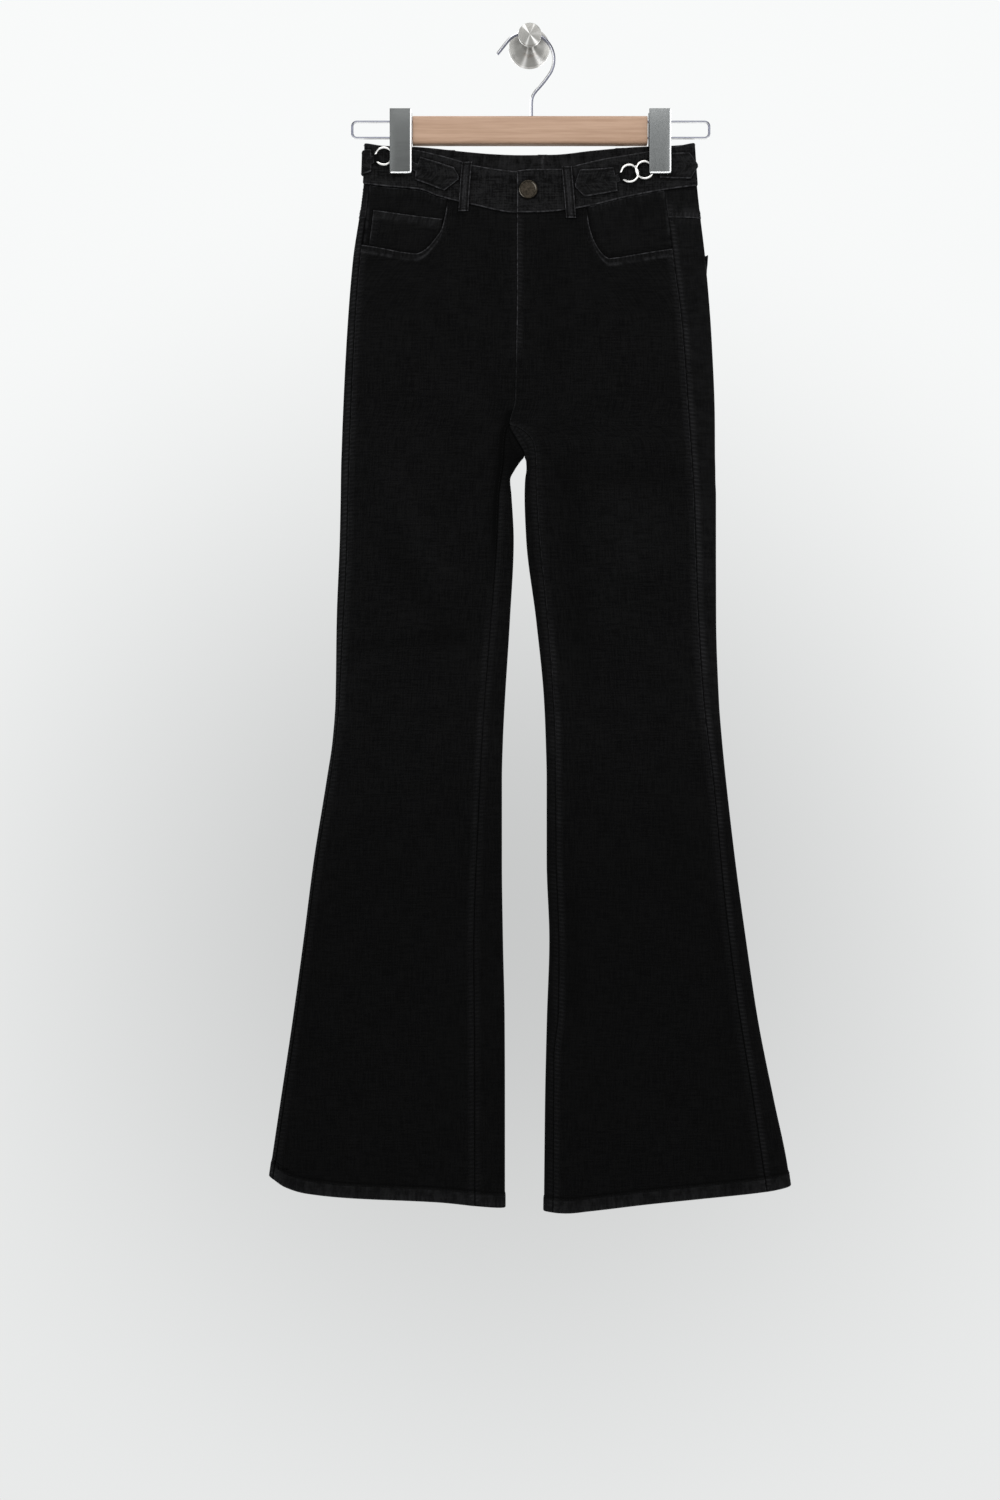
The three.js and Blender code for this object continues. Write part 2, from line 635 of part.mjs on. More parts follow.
// The zip and the shield behind the closed fly
const FLY_ZIP = { x0: -19, x1: 12, top: -188.5, bottom: -292, lift: -CLOTH - LAY_GAP, thick: 1.2 };
const FLY_SHIELD = { x0: -25, x1: 18, top: -188.5, bottom: -302, lift: -CLOTH - 2 * LAY_GAP - 1.2, thick: 1.2 };
function flyStrip({ x0, x1, top, bottom, lift, thick }) {
  const pointAt = (c, r) => ({ ...skin("left", "front", mix(x0, x1, c / 3), mix(top, bottom, r / 4)), lift });
  return gridWall(4, 5, pointAt, thick);
}

// Back patch pockets, five-sided: places in from the side fold at the top and at the bottom
const BACK_POCKET = {
  right: { top: [28, 55, 82, 109, 136, 162], outerTop: -229, innerTop: -243, flare: 0 },
  left: { top: [0, 1.3, 5, 13, 28, 52, 76, 100, 120, 134], outerTop: -227.5, innerTop: -243, flare: 1.8 },
};
const POCKET_DEPTH = 136;
const POCKET_POINT = 20; // how much lower its middle reaches
const POCKET_TAPER = 8;
const PATCH = 1.2;
const PATCH_GAP = 0.5;

function backPocket(half) {
  const { top, outerTop, innerTop, flare } = BACK_POCKET[half];
  const side = HALVES[half].side;
  const rows = [0, 0.06, 0.3, 0.6, 0.85, 1];
  const pointAt = (c, r) => {
    const across = (top[c] - top[0]) / (top.at(-1) - top[0]);
    const topZ = mix(outerTop, innerTop, across);
    const depth = POCKET_DEPTH + POCKET_POINT * (1 - Math.abs(2 * across - 1)) - 12 * across;
    const z = topZ - depth * rows[r];
    const taper = POCKET_TAPER * rows[r] * (1 - 2 * across);
    const x = outerX(half, z) - side * (top[c] + taper);
    const corner = flare * ease(1 - across * 6) * ease(1 - rows[r] * 4);
    return { ...skin(half, "back", x, z), lift: PATCH_GAP + PATCH + corner };
  };
  return gridWall(top.length, rows.length, pointAt, PATCH);
}

// Belt loops: inner face off the cloth, from the waistband's top edge to below its seam
const LOOP_WIDTH = 10.4;
const LOOP_THICK = 1.7;
const LOOP_BELOW = 9.5;
const LOOP_ROWS = [
  { from: "top", up: 0.9, off: BAND_PROUD + LAY_GAP },
  { from: "top", up: -4, off: 2.1 },
  { from: "top", up: -18, off: 2.9 },
  { from: "seam", up: 5, off: 2.3 },
  { from: "seam", up: -2, off: 1.3 },
  { from: "seam", up: -LOOP_BELOW, off: 2 * LAY_GAP },
];
const BELT_LOOPS = [
  { name: "belt_loop_front_right", half: "right", face: "front", top: -65.9, bottom: -69.9 },
  { name: "belt_loop_front_left", half: "left", face: "front", top: 38.8, bottom: 43.4 },
  { name: "belt_loop_back_right", half: "right", face: "back", top: -84, bottom: -86 },
  { name: "belt_loop_back_left", half: "left", face: "back", top: 96, bottom: 98 },
  { name: "belt_loop_back_middle", half: "left", face: "back", top: 14, bottom: 14 },
];
function beltLoop({ half, face, top, bottom }) {
  const edges = { top: waistTopZ(face, top), seam: waistSeamZ(face, bottom) };
  const lowest = edges.seam - LOOP_BELOW;
  const pointAt = (c, r) => {
    const { from, up, off } = LOOP_ROWS[r];
    const z = edges[from] + up;
    const x = mix(bottom, top, (z - lowest) / (edges.top - lowest)) + (c - 1) * LOOP_WIDTH / 2;
    return { ...skin(half, face, x, z), lift: off + LOOP_THICK };
  };
  return gridWall(3, LOOP_ROWS.length, pointAt, LOOP_THICK);
}

// Joins closed geometries into one solid
function solidOf(geometry) {
  const bare = geometry.clone();
  bare.deleteAttribute("normal");
  bare.deleteAttribute("uv");
  const merged = mergeVertices(bare, 1e-4);
  return new wasm.Manifold(new wasm.Mesh({
    numProp: 3,
    vertProperties: merged.attributes.position.array,
    triVerts: new Uint32Array(merged.index.array),
  }));
}
function joined(...geometries) {
  const mesh = geometries.map(solidOf).reduce((a, b) => a.add(b)).getMesh();
  const geometry = new THREE.BufferGeometry();
  geometry.setAttribute("position", new THREE.BufferAttribute(new Float32Array(mesh.vertProperties), 3));
  geometry.setIndex(new THREE.BufferAttribute(new Uint32Array(mesh.triVerts), 1));
  geometry.computeVertexNormals();
  return geometry;
}

// Links: two wire rings side by side with a plain bar between them
const RING_RADIUS = 9;
const RING_WIRE = 1.3;
const NECK_CLOTH = 0.7; // the tab's thin end that goes round the ring
const RING_LIFT = BAND_PROUD + 2 * LAY_GAP + NECK_CLOTH + RING_WIRE + 0.8;
const LINKS = {
  right: { inner: { x: -138.1, z: -128.4 }, outer: { x: -154, z: -124.7 } },
  left: { inner: { x: 104.7, z: -143.2 }, outer: { x: 121.2, z: -139.2 } },
};
// Axes of a link: along it towards the side, out of the cloth, and the third upwards
function linkFrame(half) {
  const place = ({ x, z }) => {
    const { p, n } = skin(half, "front", x, z);
    return { centre: p.addScaledVector(n, RING_LIFT), n };
  };
  const a = place(LINKS[half].inner);
  const b = place(LINKS[half].outer);
  const along = b.centre.clone().sub(a.centre).normalize();
  const out = a.n.clone().add(b.n).normalize();
  out.addScaledVector(along, -out.dot(along)).normalize();
  const up = new THREE.Vector3().crossVectors(out, along).normalize();
  return { inner: a.centre, outer: b.centre, along, out, up };
}
function placed(geometry, origin, x, y, z) {
  return geometry.applyMatrix4(new THREE.Matrix4().makeBasis(x, y, z).setPosition(origin));
}
function link(half) {
  const { inner, outer, along, out, up } = linkFrame(half);
  const ring = (centre) => placed(new THREE.TorusGeometry(RING_RADIUS, RING_WIRE, 6, 20), centre, along, up, out);
  const middle = inner.clone().add(outer).multiplyScalar(0.5);
  const bar = placed(new THREE.BoxGeometry(3.2, 13, 2.2), middle, along, up, out);
  return joined(ring(inner), ring(outer), bar);
}

// Waist tabs: sections from the ring's end to the pointed end, placed across or in from the side fold
const TAB_THICK = 1.9;
const TAB_LIFT = BAND_PROUD + LAY_GAP + TAB_THICK;
const NECK_WIDTH = 8;
const NECK_THICK = 1.4;
const TABS = [
  {
    name: "tab_front_left", half: "left", ring: "inner",
    sections: [
      { face: "front", x: 90, z: -149.4, tall: 12.6, lean: -0.17 },
      { face: "front", x: 72.5, z: -152.6, tall: 13.4, lean: -0.17 },
      { face: "front", x: 55, z: -155, tall: 14.4, lean: -0.17 },
      { face: "front", x: 47.4, z: -157.4, tall: 1.5, lean: 0 },
    ],
  },
  {
    name: "tab_front_right", half: "right", ring: "inner",
    sections: [
      { face: "front", x: -118.5, z: -136.9, tall: 12, lean: 0.25 },
      { face: "front", x: -101, z: -143, tall: 12, lean: 0.36 },
      { face: "front", x: -84.8, z: -149.6, tall: 12.2, lean: 0.43 },
      { face: "front", x: -74.4, z: -148.6, tall: 1.5, lean: 0 },
    ],
  },
  {
    name: "tab_back_left", half: "left", ring: "outer",
    sections: [
      { face: "front", x: 138, z: -134.4, tall: 12.6, lean: 0 },
      { face: "front", inFromFold: 26, z: -134.2, tall: 13.4, lean: 0 },
      { face: "front", inFromFold: 12, z: -134, tall: 13.8, lean: 0 },
      { face: "front", inFromFold: 6.5, z: -133.8, tall: 14, lean: 0 },
      { face: "front", inFromFold: 4, z: -133.6, tall: 10, lean: 0 },
      { face: "front", inFromFold: 1, z: -133.4, tall: 4, lean: 0 },
      { face: "front", inFromFold: 0.1, z: -133.4, tall: 1.4, lean: 0 },
    ],
  },
  {
    name: "tab_back_right", half: "right", ring: "outer",
    sections: [
      { face: "front", x: -167.6, z: -128.6, tall: 11.4, lean: 0 },
      { face: "front", inFromFold: 4, z: -129.2, tall: 12.4, lean: 0 },
      { face: "front", inFromFold: 1, z: -129.8, tall: 12.6, lean: 0 },
      { face: "back", inFromFold: 0, z: -130.2, tall: 12.8, lean: 0 },
      { face: "back", inFromFold: 1.3, z: -130.6, tall: 12.9, lean: 0 },
      { face: "back", inFromFold: 5, z: -131.2, tall: 13, lean: 0 },
      { face: "back", inFromFold: 13, z: -131.8, tall: 13.2, lean: 0 },
      { face: "back", inFromFold: 17, z: -132, tall: 13.2, lean: 0 },
      { face: "back", inFromFold: 24.5, z: -132, tall: 1.5, lean: 0 },
    ],
  },
];
// Where on the front of a half a point in space stands, and how far off its face
function standsOn(half, point) {
  let { x, z } = point;
  let lift = 0;
  for (let i = 0; i < 6; i++) {
    const { p, n } = skin(half, "front", x, z);
    lift = point.clone().sub(p).dot(n);
    p.addScaledVector(n, lift);
    x += point.x - p.x;
    z += point.z - p.z;
  }
  return { x, z, lift };
}
// The end of a tab's neck: an eye round the ring's wire, and where the neck leaves it
function tabEye(half, ring, root) {
  const { out, [ring]: ringCentre } = linkFrame(half);
  const { p, n } = skin(half, "front", root.x, root.z);
  const towards = p.addScaledVector(n, TAB_LIFT).sub(ringCentre);
  towards.addScaledVector(out, -towards.dot(out)).normalize();
  const width = new THREE.Vector3().crossVectors(towards, out);
  const wireCentre = ringCentre.clone().addScaledVector(towards, RING_RADIUS);
  const sag = RING_RADIUS - Math.sqrt(RING_RADIUS ** 2 - (NECK_WIDTH / 2) ** 2);
  const long = RING_WIRE + sag / 2 + LAY_GAP;
  const high = RING_WIRE + LAY_GAP;
  const oval = new THREE.Shape().absellipse(-sag / 2, 0, long + NECK_CLOTH, high + NECK_CLOTH, 0, 2 * Math.PI);
  oval.holes.push(new THREE.Path().absellipse(-sag / 2, 0, long, high, 0, 2 * Math.PI, true));
  const eye = new THREE.ExtrudeGeometry(oval, { depth: NECK_WIDTH, bevelEnabled: false, curveSegments: 6 });
  const corner = wireCentre.clone().addScaledVector(width, -NECK_WIDTH / 2);
  const leaves = wireCentre.clone().addScaledVector(towards, long - sag / 2 + 0.1).addScaledVector(out, -0.1);
  return { eye: placed(eye, corner, towards, out, width), leaves: standsOn(half, leaves) };
}
function waistTab({ half, ring, sections }) {
  const root = sections[0];
  const { eye, leaves } = tabEye(half, ring, root);
  const neck = [0, 0.5, 0.9].map((t) => ({
    face: "front",
    x: mix(leaves.x, root.x, t),
    z: mix(leaves.z, root.z, t),
    tall: NECK_WIDTH / 2,
    lean: root.lean,
    lift: mix(leaves.lift, TAB_LIFT - 0.2, t),
    thick: NECK_THICK,
  }));
  const all = [...neck, ...sections];
  const across = [-1, -0.5, 0, 0.5, 1];
  const pointAt = (c, r) => {
    const { face, x, inFromFold = 0, tall, lean, lift = TAB_LIFT, thick = TAB_THICK } = all[c];
    const z = all[c].z + across[r] * tall;
    const at = x === undefined ? outerX(half, z) - HALVES[half].side * inFromFold : x + lean * across[r] * tall;
    return { ...skin(half, face, at, z), lift, thick };
  };
  return joined(gridWall(all.length, across.length, pointAt, TAB_THICK), eye);
}

// A solid of revolution about +Y from (radius, height) pairs that start and end on the axis
function turned(profile, segments) {
  return new THREE.LatheGeometry(profile.map(([r, h]) => new THREE.Vector2(r, h)), segments);
}
const BUTTON = { x: -1.6, z: -161.8, radius: 9.9 };
function waistButton() {
  const { p, n } = skin("left", "front", BUTTON.x, BUTTON.z);
  const r = BUTTON.radius;
  const profile = [
    [0, 0], [r - 1.2, 0], [r, 1.1], [r, 2], [r - 0.8, 2.8], [r - 1.6, 2.8], [r - 2.4, 2.4], [0, 2.7],
  ];
  const x = new THREE.Vector3(1, 0, 0).cross(n).normalize();
  const z = new THREE.Vector3().crossVectors(x, n);
  return placed(turned(profile, 20), p.addScaledVector(n, BAND_PROUD + LAY_GAP), x, n, z);
}

// The holder
const BAR = { x0: -124.1, x1: 124.7, top: -81.4, bottom: -110.7, depth: 16, round: 3.5 };
function hangerBar() {
  const { x0, x1, top, bottom, depth, round: r } = BAR;
  const w = depth / 2;
  const shape = new THREE.Shape();
  shape.moveTo(-w + r, bottom);
  shape.lineTo(w - r, bottom);
  shape.absarc(w - r, bottom + r, r, -Math.PI / 2, 0);
  shape.absarc(w - r, top - r, r, 0, Math.PI / 2);
  shape.absarc(-w + r, top - r, r, Math.PI / 2, Math.PI);
  shape.absarc(-w + r, bottom + r, r, Math.PI, 1.5 * Math.PI);
  return alongX(shape, x0, x1);
}
// Extrudes an outline drawn in y and z along x
function alongX(shape, x0, x1) {
  const geometry = new THREE.ExtrudeGeometry(shape, { depth: x1 - x0, bevelEnabled: false, curveSegments: 4 });
  const origin = new THREE.Vector3(x0, HANG_Y, 0);
  return placed(geometry, origin, new THREE.Vector3(0, 1, 0), new THREE.Vector3(0, 0, 1), new THREE.Vector3(1, 0, 0));
}
// A round wire through points of the hanging plane, given as x and z
function wire(points, radius, sides) {
  const along = points.map((_, i) => {
    const [x0, z0] = points[Math.max(0, i - 1)];
    const [x1, z1] = points[Math.min(points.length - 1, i + 1)];
    return new THREE.Vector3(x1 - x0, 0, z1 - z0).normalize();
  });
  const vertices = points.flatMap(([x, z], i) => Array.from({ length: sides }, (_, k) => {
    const a = (2 * Math.PI * k) / sides;
    const across = new THREE.Vector3(-along[i].z, 0, along[i].x).multiplyScalar(radius * Math.cos(a));
    return new THREE.Vector3(x, HANG_Y + radius * Math.sin(a), z).add(across);
  }));
  const last = (points.length - 1) * sides;
  const triangles = [];
  for (let k = 0; k < sides; k++) {
    const next = (k + 1) % sides;
    for (let i = 0; i < last; i += sides) {
      triangles.push([i + k, i + sides + k, i + sides + next], [i + k, i + sides + next, i + next]);
    }
    if (k > 0 && k < sides - 1) triangles.push([0, k, k + 1], [last, last + k + 1, last + k]);
  }
  return closedGeometry(vertices, triangles);
}
// Points along an arc, in degrees from +X towards +Z
function arcPoints(x, z, radius, from, to, count) {
  return Array.from({ length: count }, (_, i) => {
    const a = THREE.MathUtils.degToRad(mix(from, to, i / (count - 1)));
    return [x + radius * Math.cos(a), z + radius * Math.sin(a)];
  });
}

const HOOK_WIRE = 1.75;
const HOOK_ARC = { x: -2.8, z: -20.2, radius: 28.6, from: -32, to: 112, points: 15 };
const HOOK_FOOT = [[1.9, BAR.top + SEAM_GAP], [1.9, -66], [2.6, -60.2], [5.4, -55], [10.2, -49.8], [15.4, -43.8]];
const HOOK_TIP = [[-18.6, 4.2], [-24.2, -1.6], [-34.2, -14.6]];
function hangerHook() {
  const { x, z, radius, from, to, points } = HOOK_ARC;
  return wire([...HOOK_FOOT, ...arcPoints(x, z, radius, from, to, points), ...HOOK_TIP], HOOK_WIRE, 8);
}

const END_WIRE = { radius: 1.35, top: -86.2, bottom: -103.4, bend: 5, reach: [-188, 190.3] };
function endWire(index) {
  const { radius, top, bottom, bend, reach } = END_WIRE;
  const side = index === 0 ? -1 : 1;
  const start = (index === 0 ? BAR.x0 : BAR.x1) + side * SEAM_GAP;
  const turn = Math.abs(reach[index]) - bend;
  const upper = arcPoints(turn, top - bend, bend, 90, 0, 4);
  const lower = arcPoints(turn, bottom + bend, bend, 0, -90, 4);
  const bent = [...upper, ...lower].map(([x, z]) => [side * x, z]);
  return wire([[start, top], ...bent, [start, bottom]], radius, 6);
}

// A clip: front and back plates joined by a block between the two wires that carry it
const CLIP = { top: -75, bottom: -143.5, plate: 1.6, front: -10.8, back: 5.3 };
function clip(index) {
  const { top, bottom, plate, front, back } = CLIP;
  const blockTop = END_WIRE.top - END_WIRE.radius - LAY_GAP;
  const blockBottom = END_WIRE.bottom + END_WIRE.radius + LAY_GAP;
  const outline = [
    [front - plate, bottom + 2], [front - plate, top - 3], [front - plate + 1, top], [front, top],
    [front, blockTop], [back, blockTop], [back, top], [back + plate - 1, top], [back + plate, top - 3],
    [back + plate, bottom + 2], [back + plate - 0.8, bottom], [back, bottom], [back, blockBottom],
    [front, blockBottom], [front, bottom], [front - plate + 0.8, bottom],
  ];
  const shape = new THREE.Shape(outline.map(([y, z]) => new THREE.Vector2(y, z)));
  return alongX(shape, CLIP_X[index] - CLIP_WIDTH / 2, CLIP_X[index] + CLIP_WIDTH / 2);
}

const FLANGE_RADIUS = 22;
const NECK_RADIUS = 6.15;
const KNOB_RADIUS = 12.2;
const HOOK_REACH = 50;
function wallHook() {
  const profile = [[0, 0], [FLANGE_RADIUS, 0], [FLANGE_RADIUS, 2.2], [FLANGE_RADIUS - 1, 3.2]];
  for (let i = 1; i <= 5; i++) {
    const t = i / 5;
    profile.push([mix(FLANGE_RADIUS - 1, NECK_RADIUS, 1 - (1 - t) ** 2.6), mix(3.2, 23, t ** 1.4)]);
  }
  profile.push([NECK_RADIUS, 36], [NECK_RADIUS + 2.2, 39.6], [KNOB_RADIUS - 1, 43], [KNOB_RADIUS, 44.6]);
  profile.push([KNOB_RADIUS, HOOK_REACH - 1.2], [KNOB_RADIUS - 1.2, HOOK_REACH], [0, HOOK_REACH]);
  return turned(profile, 24).rotateX(Math.PI);
}

const finish = (color, roughness, metalness) => new THREE.MeshStandardMaterial({ color, roughness, metalness });
const DENIM = finish(0x141416, 0.9, 0);
const POCKETING = finish(0x18181b, 0.92, 0);
const BRASS = finish(0x4d4436, 0.42, 1);
const SILVER = finish(0xc9c9c6, 0.2, 1);
const STEEL = finish(0x9b9d9c, 0.36, 1);
const WOOD = finish(0xc49d83, 0.55, 0);

const jeans = new THREE.Group();
function place(name, geometry, material) {
  const mesh = new THREE.Mesh(geometry, material);
  mesh.name = name;
  jeans.add(mesh);
}
for (const half of ["right", "left"]) {
  place("front_" + half, frontPanel(half), DENIM);
  place("back_" + half, backPanel(half), DENIM);
  place("yoke_" + half, yoke(half), DENIM);
  place("waistband_" + half, waistband(half), DENIM);
  place("pocket_facing_" + half, pocketFacing(half), DENIM);
  place("back_pocket_" + half, backPocket(half), DENIM);
  place("link_" + half, link(half), SILVER);
}
place("coin_pocket", coinPocket(), DENIM);
place("fly_zip", flyStrip(FLY_ZIP), POCKETING);
place("fly_shield", flyStrip(FLY_SHIELD), DENIM);
for (const loop of BELT_LOOPS) place(loop.name, beltLoop(loop), DENIM);
for (const tab of TABS) place(tab.name, waistTab(tab), DENIM);
place("waist_button", waistButton(), BRASS);
place("hanger_bar", hangerBar(), WOOD);
place("hanger_hook", hangerHook(), STEEL);
["right", "left"].forEach((half, index) => {
  place("hanger_wire_" + half, endWire(index), STEEL);
  place("hanger_clip_" + half, clip(index), STEEL);
});
place("wall_hook", wallHook(), STEEL);

export default jeans;
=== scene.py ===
# Flared black jeans on a clip hanger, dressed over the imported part. Sizes are in millimetres.
import json
import math

import bpy
import numpy as np
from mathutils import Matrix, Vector
from mathutils.bvhtree import BVHTree
from mathutils.kdtree import KDTree

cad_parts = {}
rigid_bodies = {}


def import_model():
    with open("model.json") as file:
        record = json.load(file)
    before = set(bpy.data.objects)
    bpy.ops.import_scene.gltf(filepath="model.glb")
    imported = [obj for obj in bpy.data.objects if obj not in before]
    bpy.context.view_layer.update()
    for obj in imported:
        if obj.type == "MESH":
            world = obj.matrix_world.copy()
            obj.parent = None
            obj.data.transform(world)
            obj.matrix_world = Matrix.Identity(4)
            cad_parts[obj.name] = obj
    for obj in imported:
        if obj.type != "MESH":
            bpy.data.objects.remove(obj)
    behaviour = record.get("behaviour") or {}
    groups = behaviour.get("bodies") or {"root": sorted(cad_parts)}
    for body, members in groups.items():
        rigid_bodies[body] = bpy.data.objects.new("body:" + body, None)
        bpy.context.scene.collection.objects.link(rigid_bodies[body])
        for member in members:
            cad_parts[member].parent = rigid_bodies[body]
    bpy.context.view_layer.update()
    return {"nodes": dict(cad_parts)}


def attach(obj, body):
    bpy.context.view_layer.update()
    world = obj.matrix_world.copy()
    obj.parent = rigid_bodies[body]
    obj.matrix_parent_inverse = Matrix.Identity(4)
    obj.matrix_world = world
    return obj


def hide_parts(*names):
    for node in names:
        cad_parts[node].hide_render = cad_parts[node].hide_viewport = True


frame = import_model()
scene = bpy.context.scene
millimetre = 0.001
print("frame loaded:", len(frame["nodes"]), "nodes")


# Shader maths as expressions
class Value:
    def __init__(self, shader, socket):
        self.shader, self.socket = shader, socket

    def __add__(self, other):
        return self.shader.maths("ADD", self, other)

    __radd__ = __add__

    def __sub__(self, other):
        return self.shader.maths("SUBTRACT", self, other)

    def __rsub__(self, other):
        return self.shader.maths("SUBTRACT", other, self)

    def __mul__(self, other):
        return self.shader.maths("MULTIPLY", self, other)

    __rmul__ = __mul__


class Shader:
    def __init__(self, name, world=False):
        self.made = bpy.data.worlds.new(name) if world else bpy.data.materials.new(name)
        self.made.use_nodes = True
        self.tree = self.made.node_tree
        self.tree.nodes.clear()
        kinds = ("Background", "OutputWorld") if world else ("BsdfPrincipled", "OutputMaterial")
        self.surface, output = [self.tree.nodes.new("ShaderNode" + kind) for kind in kinds]
        self.tree.links.new(self.surface.outputs[0], output.inputs[0])

    def put(self, socket, value):
        if isinstance(value, Value):
            self.tree.links.new(value.socket, socket)
        else:
            socket.default_value = value

    def node(self, kind, settings=None, inputs=(), out=0):
        made = self.tree.nodes.new(kind)
        for key, value in (settings or {}).items():
            setattr(made, key, value)
        pairs = inputs.items() if isinstance(inputs, dict) else enumerate(inputs)
        for key, value in pairs:
            self.put(made.inputs[key], value)
        return Value(self, made.outputs[out])

    def maths(self, operation, *values):
        return self.node("ShaderNodeMath", {"operation": operation}, values)

    def clamp(self, value):
        return self.node("ShaderNodeClamp", {}, [value])

    def joined(self, x, y):
        return self.node("ShaderNodeCombineXYZ", {}, [x, y, 0.0])

    def axes(self, vector):
        split = self.node("ShaderNodeSeparateXYZ", {}, [vector]).socket.node
        return [Value(self, output) for output in split.outputs]

    def attribute(self, name):
        return self.node("ShaderNodeAttribute", {"attribute_name": name}, out="Fac")

    def uv(self):
        return self.node("ShaderNodeUVMap", {"uv_map": "cloth"})

    def place(self):
        return self.node("ShaderNodeTexCoord", out="Object")

    def noise(self, vector, scale, detail=3.0, roughness=0.55):
        return self.node("ShaderNodeTexNoise", {}, {"Vector": vector, "Scale": scale, "Detail": detail,
                                                     "Roughness": roughness})

    def stretch(self, vector, scale):
        return self.node("ShaderNodeMapping", {}, {"Vector": vector, "Scale": scale})

    def ramp(self, value, low, high, atLow=0.0, atHigh=1.0):
        return self.node("ShaderNodeMapRange", {"interpolation_type": "SMOOTHSTEP"},
                         [value, low, high, atLow, atHigh])

    def blend(self, factor, a, b):
        made = self.tree.nodes.new("ShaderNodeMix")
        made.data_type = "RGBA"
        for socket, value in zip([made.inputs[0], made.inputs[6], made.inputs[7]], [factor, a, b]):
            self.put(socket, value)
        return Value(self, made.outputs[2])

    def bump(self, height, distance, strength=1.0):
        return self.node("ShaderNodeBump", {}, {"Height": height, "Distance": distance, "Strength": strength})

    def finish(self, **sockets):
        for name, value in sockets.items():
            self.put(self.surface.inputs[name.replace("_", " ")], value)
        return self.made


# Colours are linear, and a ramp's four numbers are from, to, and its values there
denimLook = {
    "panel": {"dark": (0.0011, 0.0011, 0.0012, 1), "faded": (0.0041, 0.0041, 0.0042, 1), "crumple": 0.0},
    "trim": {"dark": (0.0021, 0.0021, 0.0022, 1), "faded": (0.0112, 0.0112, 0.0116, 1), "crumple": 0.3},
    # The first colour on this line is for light wear and painted highlight; deep is the colour of painted shade
    "wornAndHighlight": (0.052, 0.052, 0.055, 1), "deep": (0.0005, 0.0005, 0.0005, 1), "fade": (0.42, 0.58),
    "cloudScale": 0.02, "fineScale": 0.55, "crumpleScale": 0.13, "patchScale": 0.021,
    "warp": (0.8, 0.045, 1), "weft": (0.05, 0.7, 1),
    "mix": {"cloud": 0.08, "fine": 0.32, "warp": 0.3, "weft": 0.3},
    "pull": (0.13, 0.05), "ripple": (1.42, 0.25, 3), "puckerIn": (9.0, 3.0), "puckerOut": (0.3, 1.4),
    "patch": (0.38, 0.6, 0.55, 1.0), "rubAndHighlight": (0.38, 0.64, 0.14, 0.95), "crest": (-0.3, 0.9, 0.3, 1.0),
    "puckerShare": 0.12, "twillMm": 1.1,
    "relief": {"twill": 0.05, "fine": 0.12, "pucker": 0.12, "cloud": 0.4},
}


def makeDenim(name, look):
    s, c = Shader(name), denimLook
    cloth = s.uv()
    seam, along, tone, pull = [s.attribute(key) for key in ("seam", "along", "tone", "pull")]
    cloud, fine = s.noise(cloth, c["cloudScale"], 3), s.noise(cloth, c["fineScale"], 4, 0.7)
    warp, weft = [s.noise(s.stretch(cloth, c[key]), 1.0, 3) for key in ("warp", "weft")]
    share = c["mix"]
    threads = cloud * share["cloud"] + fine * share["fine"] + warp * share["warp"] + weft * share["weft"]
    crumple = (s.noise(cloth, c["crumpleScale"], 3, 0.6) - 0.5) * look["crumple"]
    shade = s.blend(s.ramp(threads + crumple, *c["fade"]), look["dark"], look["faded"])
    # Puckers run across a seam, unevenly, and wear light on their crests
    alongPull, acrossPull = c["pull"]
    pulled = s.noise(s.joined(along * alongPull, seam * acrossPull), 1.0, 3, 0.6)
    alongStep, acrossStep, uneven = c["ripple"]
    ripple = s.maths("SINE", along * alongStep + seam * acrossStep + pulled * uneven)
    beside = s.ramp(seam, *c["puckerIn"]) * s.ramp(seam, *c["puckerOut"]) * pull
    patch = s.ramp(s.noise(cloth, c["patchScale"], 2), *c["patch"])
    # Positive tone: light wear, and a painted highlight along the legs' outer sides
    wearAndHighlight = s.maths("MAXIMUM", tone, 0.0) * s.ramp(pulled, *c["rubAndHighlight"])
    wearAndHighlight = wearAndHighlight + beside * patch * s.ramp(ripple, *c["crest"]) * c["puckerShare"]
    colour = s.blend(s.clamp(wearAndHighlight), shade, c["wornAndHighlight"])
    # Negative tone: painted shade in fold troughs, under overlapping pieces, near the crotch and down the shins
    colour = s.blend(s.clamp(s.maths("MAXIMUM", tone * -1.0, 0.0)), colour, c["deep"])
    twill = s.node("ShaderNodeTexWave", {"wave_type": "BANDS", "bands_direction": "DIAGONAL"},
                   {"Vector": cloth, "Scale": 0.5 / c["twillMm"], "Distortion": 0.6, "Detail": 1.0}, out="Fac")
    high = c["relief"]
    relief = (twill * high["twill"] + fine * high["fine"] + ripple * beside * high["pucker"]
              + cloud * high["cloud"])
    bumped = s.bump(relief, millimetre)
    return s.finish(Base_Color=colour, Roughness=0.9, Specular_IOR_Level=0.06, Normal=bumped)


threadLook = {"dark": (0.0008, 0.0008, 0.0008, 1), "light": (0.0022, 0.0022, 0.0023, 1), "twist": 900}


def makeThread():
    s, c = Shader("blackThread"), threadLook
    colour = s.blend(s.noise(s.place(), c["twist"], 2), c["dark"], c["light"])
    return s.finish(Base_Color=colour, Roughness=0.6, Specular_IOR_Level=0.1)


silverLook = {"colour": (0.86, 0.85, 0.83, 1), "smear": 160, "roughness": (0.3, 0.7, 0.08, 0.2)}


def makeSilver():
    s, c = Shader("silverPlate"), silverLook
    smear = s.noise(s.place(), c["smear"], 2)
    return s.finish(Base_Color=c["colour"], Metallic=1.0, Roughness=s.ramp(smear, *c["roughness"]))


chromeLook = {"dark": (0.2, 0.205, 0.25, 1), "bright": (0.98, 0.98, 0.99, 1), "paintedHighlight": (0.5, 0.92)}


